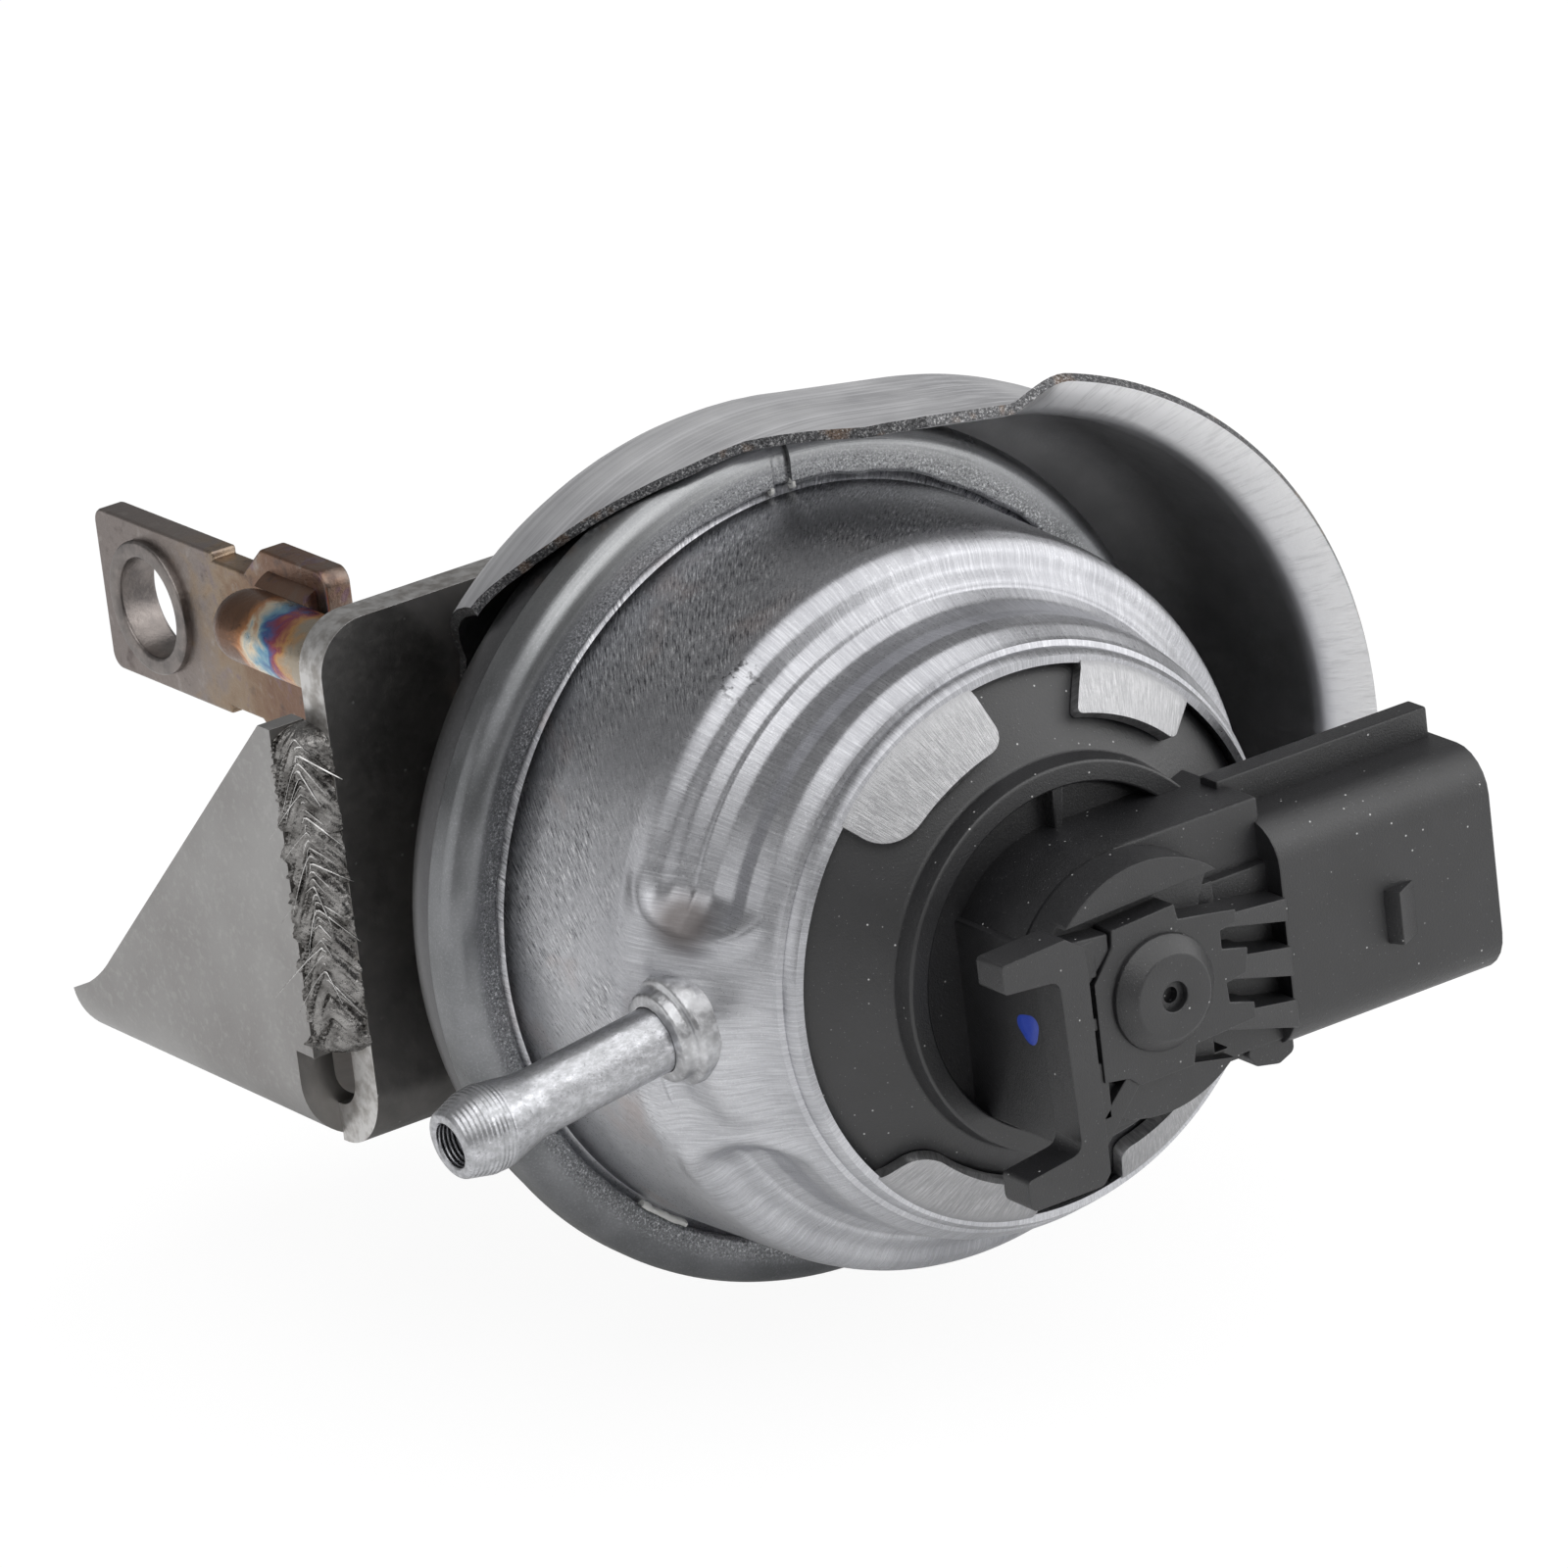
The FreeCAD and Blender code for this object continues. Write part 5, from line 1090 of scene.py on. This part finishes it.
BEAD_LEFT = Vector((-33.45, 20.6))
BEAD_RIGHT = Vector((-30.4, 17.2))
BEAD_ROOT = Vector((-30.3, 20.7))
BEAD_LOW = -10.5
BEAD_HIGH = 15.2
BEAD_SWELL = 0.5
BEAD_PEAK = 0.45
BEAD_ACROSS = Vector((0.667, -0.744, 0.0))
BEAD_OUT = Vector((-0.744, -0.667, 0.0))


def bead_spot(t, z):
    """A point on the bead's face: t runs from the gusset to the wall."""
    spot = BEAD_LEFT.lerp(BEAD_RIGHT, t)
    return Vector((spot.x, spot.y, z)) + BEAD_OUT * BEAD_SWELL * 4 * t * (1 - t)


def bead_drop(t):
    """How far a ripple has fallen at t: steep on the gusset's side."""
    if t < BEAD_PEAK:
        return 5.0 * ((BEAD_PEAK - t) / BEAD_PEAK) ** 1.3
    return 2.8 * ((t - BEAD_PEAK) / (1 - BEAD_PEAK)) ** 1.2


def bracket_face(spot, normal):
    """Cut edges are ground bright, the broad faces keep their scale."""
    if abs(normal.x) > 0.9 and -32.5 < spot.x < -29.0 and spot.y < 21.0:
        return 1
    if spot.y < 21.0 and spot.z > 10.0 and normal.z > 0.35:
        return 1
    return 2 if spot.x < -31.5 and spot.y > 21.0 else 0


def make_bracket():
    softened("mounting_bracket", "bracket", "housing",
             [MILL_SCALE, GROUND_EDGE, GUSSET_STEEL], 0.3, bracket_face)
    shape = Shape("bracket_bead")
    rows = []
    steps = 250
    for i in range(steps + 1):
        z = BEAD_LOW + (BEAD_HIGH - BEAD_LOW) * i / steps
        near_top = max(0.0, (z - BEAD_HIGH + 1.2) / 1.25)
        near_low = max(0.0, (BEAD_LOW + 1.5 - z) / 1.7)
        size = math.sqrt(max(0.02, 1 - max(near_top, near_low) ** 2))
        row = []
        for k in range(41):
            t = k / 40
            spot = bead_spot(t, z)
            edge = 0.45 * noise.noise(Vector((z * 0.8, t * 0.4, 5.0)))
            edge += 0.22 * noise.noise(Vector((z * 3.0, t, 1.0)))
            phase = z + bead_drop(t)
            ridge = 1 - abs(noise.noise(Vector((phase * 1.5, t * 1.3, z * 0.12)))) * 2
            ridge += 0.5 * (1 - abs(noise.noise(Vector((phase * 3.6, t * 2.0, z * 0.3)))) * 2)
            height = (ridge - 0.9) * 0.26 + edge * (2 * t - 1) ** 2
            spot += BEAD_OUT * height + BEAD_ACROSS * edge * (1 if t > 0.5 else -1) * (2 * t - 1) ** 4
            row.append(BEAD_ROOT.lerp(Vector((spot.x, spot.y)), size).to_3d())
            row[-1].z = z
        row.append(Vector((*BEAD_ROOT, z)))
        rows.append(row)
    shape.grid(rows, caps=True)
    shape.done("housing", ["bracket_weld"], [WELD_METAL], sharp=60)
    # Strands along the bead's ripples, near white as a painted highlight.
    strand = Shape("strand")
    rows = []
    for k in range(17):
        t = k / 16
        middle = bead_spot(t, 0.0) - bead_spot(BEAD_PEAK, 0.0) + Vector((0.0, 0.0, -bead_drop(t)))
        thick = 0.11 * math.sin(math.pi * (0.06 + 0.88 * t)) ** 0.6
        rows.append([middle + (BEAD_OUT * a + Vector((0, 0, 1)) * b) * thick
                     for a, b in circle(0.0, 1.0, 6)])
    strand.grid(rows, caps=True)
    pattern = strand.loose(Matrix.Scale(MM, 4))
    path = [bead_spot(BEAD_PEAK, BEAD_LOW + 6.5 + (BEAD_HIGH - BEAD_LOW - 7.0) * k / 12) for k in range(13)]
    grown("bracket_strands", [path], STRANDS, "housing", "weld_metal", Strand=pattern, Pitch=0.6 * MM,
          Tilt=0.42, Smallest=0.45, Largest=1.05, Seed=7, Finish=PAINTED_STRAND_GLINT)
    bpy.data.objects.remove(pattern)


# The vacuum pipe

def nipple_turn():
    """The turn that takes the can's y axis to the nipple's sloping axis."""
    along = Vector((-math.cos(NIPPLE_SLOPE), 0.0, -math.sin(NIPPLE_SLOPE)))
    side = Vector((0.0, 1.0, 0.0))
    up = along.cross(side).normalized()
    turn = Matrix((side, along, up)).transposed().to_4x4()
    return Matrix.Translation(NIPPLE_START) @ turn


def make_nipple():
    turn = nipple_turn()
    shape = Shape("vacuum_pipe")
    outline = rounded([(1.72, 22.4), (2.5, 22.4), (2.5, 38.7), (3.25, 42.1), (3.2, 43.4), (2.55, 45.6),
                       (1.72, 45.7)], radii={2: 6.0, 3: 2.0, 4: 1.2, 5: 0.45, 6: 0.25})
    shape.lathe(outline, steps=96, turn=turn)
    shape.done("housing", ["vacuum_nipple"], [NIPPLE_ZINC])
    shape = Shape("brazed_collar")
    outline = rounded([(2.52, 23.0), (4.2, 23.0), (4.15, 26.3), (3.55, 26.5), (3.45, 27.4), (2.52, 27.6)],
                      radii={2: 0.25, 3: 0.15, 4: 0.25})
    outline = respaced(outline + [outline[0]], 60)[:-1]
    shape.lathe(outline, steps=160, turn=turn)

    def lumpy(spot, normal):
        wave = noise.noise(spot * 0.8) * 0.06 + noise.noise(spot * 2.1) * 0.025
        return spot + normal * wave

    shape.done("housing", ["nipple_collar"], [SOLDER], sharp=60, displace=lumpy)


# The sensor

PLUNGER_BORE = 4.1
BORE_END = -36.15
HUB_FLAT = -8.72
DOT = (-36.7, -1.1)


def make_sensor():
    shape = Shape("sensor")
    base = rounded([(PLUNGER_BORE, -14.0), (6.0, -14.0), (6.0, -23.1), (20.25, -23.1), (20.25, -25.2),
                    (14.6, -28.8), (14.4, -30.7), (12.8, -30.7), (12.7, -28.9), (PLUNGER_BORE, -28.9)],
                   radii={4: 0.3, 5: 0.5, 6: 0.25, 7: 0.2, 8: 0.5}, steps=4)
    shape.lathe(base, steps=192)

    def arc(low, high, steps=40, radius=9.55):
        turns = [math.radians(low + (high - low) * k / steps) for k in range(steps + 1)]
        return [Vector((max(radius * math.cos(turn), HUB_FLAT + 0.1), radius * math.sin(turn)))
                for turn in turns]

    hub = []
    for outer, inner in zip(arc(0.0, 360.0, 144, 9.7)[:-1], arc(0.0, 360.0, 144, PLUNGER_BORE)[:-1]):
        hub.append([Vector((spot.x, y, spot.y)) for spot, y in
                    ((outer, -27.0), (outer, -36.4), (inner, -36.4), (inner, -27.0))])
    shape.grid(hub, ring=True)
    shape.prism(arc(47.5, 314.0, 96) + [Vector((5.4, -6.9)), Vector((5.4, 4.9))], "y", BORE_END, -38.9,
                bevel=0.15, sharp=40)
    shape.prism(arc(47.5, 137.0), "y", -37.5, -40.0, bevel=0.15, sharp=40)
    shape.prism(arc(206.0, 311.0) + [Vector((2.2, -6.4)), Vector((-2.7, -6.4))], "y", -37.5, -40.0,
                bevel=0.15, sharp=40)
    beside = PLUNGER_BORE + 0.1
    shape.prism(rectangle(HUB_FLAT, -beside, -9.6, 5.2), "y", -27.0, -39.6, bevel=0.3)
    shape.prism(rectangle(-beside - 0.4, 0.0, -9.55, 5.15), "y", BORE_END, -39.57, bevel=0.3)
    notch = [(0.0, beside), (beside, beside), (beside, -beside), (0.0, -beside)]
    shape.prism(rectangle(0.0, 13.0, -9.3, 9.7) + notch, "y", -27.0, -36.5, bevel=0.3)
    shape.prism(rectangle(0.0, 12.9, -8.6, 5.0) + notch, "y", -30.0, -37.3, bevel=0.2)
    shape.prism(rectangle(4.8, 7.1, -5.5, 5.5), "y", -33.0, -38.25, bevel=0.1)
    foot = rounded([(9.0, -8.4), (13.6, -8.4), (13.6, -9.9), (12.2, -10.5), (10.2, -10.1)], 0.6, steps=4)
    shape.prism(foot, "y", -31.0, -37.0, bevel=0.4)
    plate = [(-3.8, 5.8), (1.8, 6.1), (2.0, 4.9), (7.0, 4.1), (6.9, 3.1), (5.5, 2.85), (5.5, 1.5), (7.7, 1.0),
             (7.4, -0.9), (5.6, -1.15), (5.7, -2.6), (7.8, -3.2), (7.8, -4.5), (2.4, -4.8), (2.1, -6.3),
             (-2.7, -6.3), (-3.6, -5.5), (-5.7, -5.2), (-5.7, 2.3), (-3.9, 4.5)]
    shape.prism(plate, "y", -38.6, -41.0, bevel=0.16)
    shape.prism([(-3.6, -5.3), (-2.5, -6.2), (-6.5, -10.6), (-7.4, -8.6), (-6.6, -8.3)], "y", -38.6, -40.8,
                bevel=0.16)
    shape.prism([(-7.2, 5.9), (-3.9, 5.6), (-3.9, 4.2), (-6.2, 2.0), (-7.2, 2.0)], "y", -36.5, -40.75,
                bevel=0.2)
    for left, right in (((3.55, 0.95), (1.95, 1.8)), ((0.0, 1.7), (-2.0, 2.3)), ((-4.0, 1.3), (-6.0, 2.2))):
        ramp = [[Vector((x, front, z - wide / 2)), Vector((x, front, z + wide / 2)),
                 Vector((x, -35.0, z + wide / 2)), Vector((x, -35.0, z - wide / 2))]
                for x, (z, wide), front in ((5.3, left, -40.95), (12.45, right, -39.6))]
        shape.grid(ramp, caps=True, bevel=0.15)
    bar = rounded([(-6.9, -11.2), (-6.95, 4.0), (-7.1, 5.9), (-8.6, 7.0), (-14.15, 6.7), (-14.15, 4.5),
                   (-9.45, 4.1), (-9.1, -8.9), (-14.0, -9.6), (-14.0, -12.0), (-7.6, -12.0)],
                  0.3, radii={6: 0.8, 7: 0.9, 8: 0.4, 9: 0.7, 10: 0.8}, steps=3)
    shape.prism(bar, "y", -39.2, -42.3, bevel=0.2)
    for low, high in ((-8.0, -3.6), (-1.2, -0.2), (2.7, 5.5)):
        shape.prism(rectangle(-7.3, -5.2, low, high), "y", -38.0, -40.8, bevel=0.15)
    shape.prism(rectangle(-7.3, -5.2, -8.0, 5.5), "y", -38.0, -40.1, bevel=0.1)
    dome = rounded([(0.0, -40.5), (4.4, -40.5), (4.3, -41.3), (3.15, -42.5), (1.1, -42.5), (1.1, -41.9),
                    (0.6, -41.9), (0.6, -41.2), (0.0, -41.2)], radii={2: 0.25, 3: 0.3, 4: 0.12}, steps=4)
    shape.lathe(dome, steps=96)
    shape.lathe([(9.3, -28.0), (12.95, -28.0), (12.95, -30.3), (9.3, -30.0)], steps=4, sweep=4.5, centre=88.5,
                bevel=0.12)
    shell = rounded(rectangle(-39.0, -28.3, -9.3, 8.0), 3.3, steps=6)
    inner = rounded(rectangle(-37.3, -30.0, -7.6, 6.3), 1.7, steps=6)
    rows = [[Vector((x, a, b)) for a, b in outline] for x, outline in
            ((12.5, shell), (31.5, shell), (31.5, inner), (16.5, inner))]
    shape.grid(rows, caps=True, bevel=0.18, sharp=40)
    shape.prism(rectangle(-33.2, -31.1, 7.6, 10.3), "x", 11.9, 30.9, bevel=0.2)
    wedge = [(21.3, -38.6), (21.3, -39.1), (21.8, -40.3), (24.0, -39.0), (24.0, -38.6)]
    shape.prism(wedge, "z", -3.6, 0.5, bevel=0.12)
    shape.done("housing", ["sensor_housing"], [PLASTIC], sharp=40)
    dot = Shape("paint_dot")
    rows = []
    for i in range(4):
        row = []
        for k in range(32):
            turn = math.tau * k / 32
            size = 1.0 + 0.12 * math.sin(3 * turn + 0.6)
            swell = (0.85, 1.0, 0.92, 0.3)[i] * size
            row.append(Vector((HUB_FLAT + 0.04 - (0.0, 0.02, 0.07, 0.10)[i],
                               DOT[0] + 1.3 * swell * math.cos(turn),
                               DOT[1] + 1.15 * swell * math.sin(turn))))
        rows.append(row)
    dot.grid(rows, caps=True)
    dot.done("housing", [], [BLUE_PAINT], sharp=60)


# The rod and its link

EYELET_BORE = 4.15
EYELET_END = 5.9
EYELET_SLEEVE = 4.9
EYELET_RIM = 0.7
STUD_OFFSET = 14.5
STUD_RADIUS = 2.9
STUD_PITCH = 1.0
STUD_THREAD = 25.3
STUD_END = 27.6


def make_rod_end():
    softened("link_plate", "link", "rod", [LINK_STEEL], 0.25)
    low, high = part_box("link_eyelet")
    low, high = (low - CAN) / MM, (high - CAN) / MM
    middle = (low + high) / 2
    rim = (high.z - low.z) / 2
    outline = rounded([(EYELET_BORE, low.x), (rim, low.x), (rim, low.x + EYELET_RIM),
                       (EYELET_SLEEVE, low.x + EYELET_RIM), (EYELET_SLEEVE, EYELET_END),
                       (EYELET_BORE, EYELET_END)], radii={0: 0.35, 1: 0.25, 4: 0.2, 5: 0.35}, steps=4)
    rows = []
    for k in range(128):
        turn = math.tau * k / 128
        rows.append([Vector((x, middle.y + r * math.cos(turn), middle.z + r * math.sin(turn)))
                     for r, x in outline])
    shape = Shape("eyelet")
    shape.grid(rows, ring=True)
    shape.done("rod", ["link_eyelet"], [EYELET_STEEL])
    for name in ("upper", "lower"):
        softened("link_weld_" + name, "rod_bead_" + name, "rod", [LINK_STEEL], 0.3)


def make_stud_threads():
    """A fine ridge wound round each stud's free end, behind its nut."""
    lines = []
    for side in (-1, 1):
        line = []
        turns = (STUD_END - STUD_THREAD) / STUD_PITCH
        count = int(turns * 24)
        for k in range(count + 1):
            turn = math.tau * turns * k / count
            line.append(Vector((side * STUD_OFFSET + STUD_RADIUS * math.cos(turn),
                                STUD_THREAD + (STUD_END - STUD_THREAD) * k / count,
                                STUD_RADIUS * math.sin(turn))))
        lines.append(line)
    grown("stud_threads", lines, WIRE, "housing", "fastener_steel", Radius=0.28 * MM, Ripple=0.1,
          Pitch=2.0 * MM, Seed=3, Finish=BRIGHT_ZINC)


def sprung(node, name):
    """A smooth shaded copy of a spring's node, dressed in spring steel in the node's place."""
    part = copied(node)
    for face in part.faces:
        face.smooth = True
    obj = dressed(plain_mesh(part, name), name, "housing", [node], [SPRING_STEEL])
    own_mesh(obj)


def make_springs():
    sprung("return_spring", "return_coil")
    sprung("plunger_spring", "plunger_coil")


def dress_hidden():
    """Give each CAD node that stays in view its own finish."""
    finishes = {"actuator_rod": ROD_STEEL, "rod_guide_bush": BRONZE, "rod_wiper": RUBBER, "diaphragm": RUBBER,
                "sensor_seal": RUBBER, "sensor_board": BOARD, "terminal_upper": BRASS,
                "terminal_middle": BRASS, "terminal_lower": BRASS, "sensor_plunger": PLASTIC,
                "sensor_magnet": DARK_HOLE}
    for name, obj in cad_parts.items():
        material = finishes.get(name, BRIGHT_ZINC)
        for slot in obj.material_slots:
            slot.material = material
        if not obj.material_slots:
            obj.data.materials.append(material)
        obj.data.set_sharp_from_angle(angle=math.radians(30))


# The studio

SOFTBOXES = (("above", (60, -260, 660), (1.1, 0.9), 1.35), ("right", (640, -330, 270), (1.2, 0.55), 1.6),
             ("left", (-640, 260, 90), (0.6, 0.5), 0.7), ("upper_left", (-520, -360, 520), (0.7, 0.6), 0.55))

CAMERA_LENS = 270.0
CAMERA_SPOT = Vector((-435.7, -675.5, 303.0))
FLOOR_HALF = 3.0
FLOOR_DROP = 0.004


def make_studio():
    scene = bpy.context.scene
    scene.view_settings.view_transform = "Standard"
    camera_data = bpy.data.cameras.new("camera")
    camera_data.lens = CAMERA_LENS
    camera_data.sensor_width = 36.0
    camera_data.clip_end = 20.0
    camera = added("camera", camera_data)
    right = Vector((0.8134, -0.571, -0.1124)).normalized()
    away = Vector((-0.506, -0.79, 0.3465)).normalized()
    up = away.cross(right).normalized()
    right = up.cross(away).normalized()
    turn = Matrix((right, up, away)).transposed().to_4x4()
    camera.matrix_world = Matrix.Translation(CAN + CAMERA_SPOT * MM) @ turn
    scene.camera = camera

    floor_mesh = bpy.data.meshes.new("floor")
    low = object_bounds()[0][2] - FLOOR_DROP
    corners = [(x, y, low) for x, y in rectangle(-FLOOR_HALF, FLOOR_HALF, -FLOOR_HALF, FLOOR_HALF)]
    floor_mesh.from_pydata(corners, [], [(0, 1, 2, 3)])
    floor = added("floor", floor_mesh)
    floor_mesh.materials.append(floor_finish())

    world = bpy.data.worlds.new("studio")
    scene.world = world
    world.use_nodes = True
    tree = world.node_tree
    link = tree.links.new
    background = tree.nodes["Background"]
    paths = tree.nodes.new("ShaderNodeLightPath")
    seen = tree.nodes.new("ShaderNodeMath")
    seen.operation = "MAXIMUM"
    link(paths.outputs["Is Camera Ray"], seen.inputs[0])
    link(paths.outputs["Is Transmission Ray"], seen.inputs[1])
    glossy = tree.nodes.new("ShaderNodeMapRange")
    link(paths.outputs["Is Glossy Ray"], glossy.inputs["Value"])
    glossy.inputs["To Min"].default_value = 0.45
    glossy.inputs["To Max"].default_value = 0.26
    strength = tree.nodes.new("ShaderNodeMapRange")
    link(seen.outputs[0], strength.inputs["Value"])
    link(glossy.outputs[0], strength.inputs["To Min"])
    strength.inputs["To Max"].default_value = 1.0
    link(strength.outputs[0], background.inputs["Strength"])
    background.inputs["Color"].default_value = (1, 1, 1, 1)

    for name, spot, size, glow in SOFTBOXES:
        lamp = bpy.data.lights.new(name, "AREA")
        lamp.shape = "RECTANGLE"
        lamp.size = size[0]
        lamp.size_y = size[1]
        lamp.energy = glow * math.pi * size[0] * size[1]
        obj = added(name, lamp)
        obj.location = CAN + Vector(spot) * MM
        obj.rotation_euler = (CAN - obj.location).to_track_quat("-Z", "Y").to_euler()


def floor_finish():
    """A white floor that keeps the object's soft shadow."""
    material = bpy.data.materials.new("floor")
    material.use_nodes = True
    tree = material.node_tree
    link = tree.links.new
    shader = tree.nodes["Principled BSDF"]
    shader.inputs["Base Color"].default_value = (0.85, 0.85, 0.85, 1.0)
    shader.inputs["Roughness"].default_value = 0.9
    shader.inputs["Specular IOR Level"].default_value = 0.0
    paths = tree.nodes.new("ShaderNodeLightPath")
    glow = tree.nodes.new("ShaderNodeEmission")
    glow.inputs["Color"].default_value = (1, 1, 1, 1)
    glow.inputs["Strength"].default_value = 1.05
    mix = tree.nodes.new("ShaderNodeMixShader")
    amount = tree.nodes.new("ShaderNodeMath")
    amount.operation = "MULTIPLY"
    amount.inputs[1].default_value = 0.88
    link(paths.outputs["Is Camera Ray"], amount.inputs[0])
    link(amount.outputs[0], mix.inputs[0])
    link(shader.outputs[0], mix.inputs[1])
    link(glow.outputs[0], mix.inputs[2])
    link(mix.outputs[0], tree.nodes["Material Output"].inputs[0])
    return material


make_springs()
dress_hidden()
make_upper_can()
make_crimp_ring()
make_lower_can()
make_heat_shield()
make_bracket()
make_nipple()
make_sensor()
make_rod_end()
make_stud_threads()
make_studio()
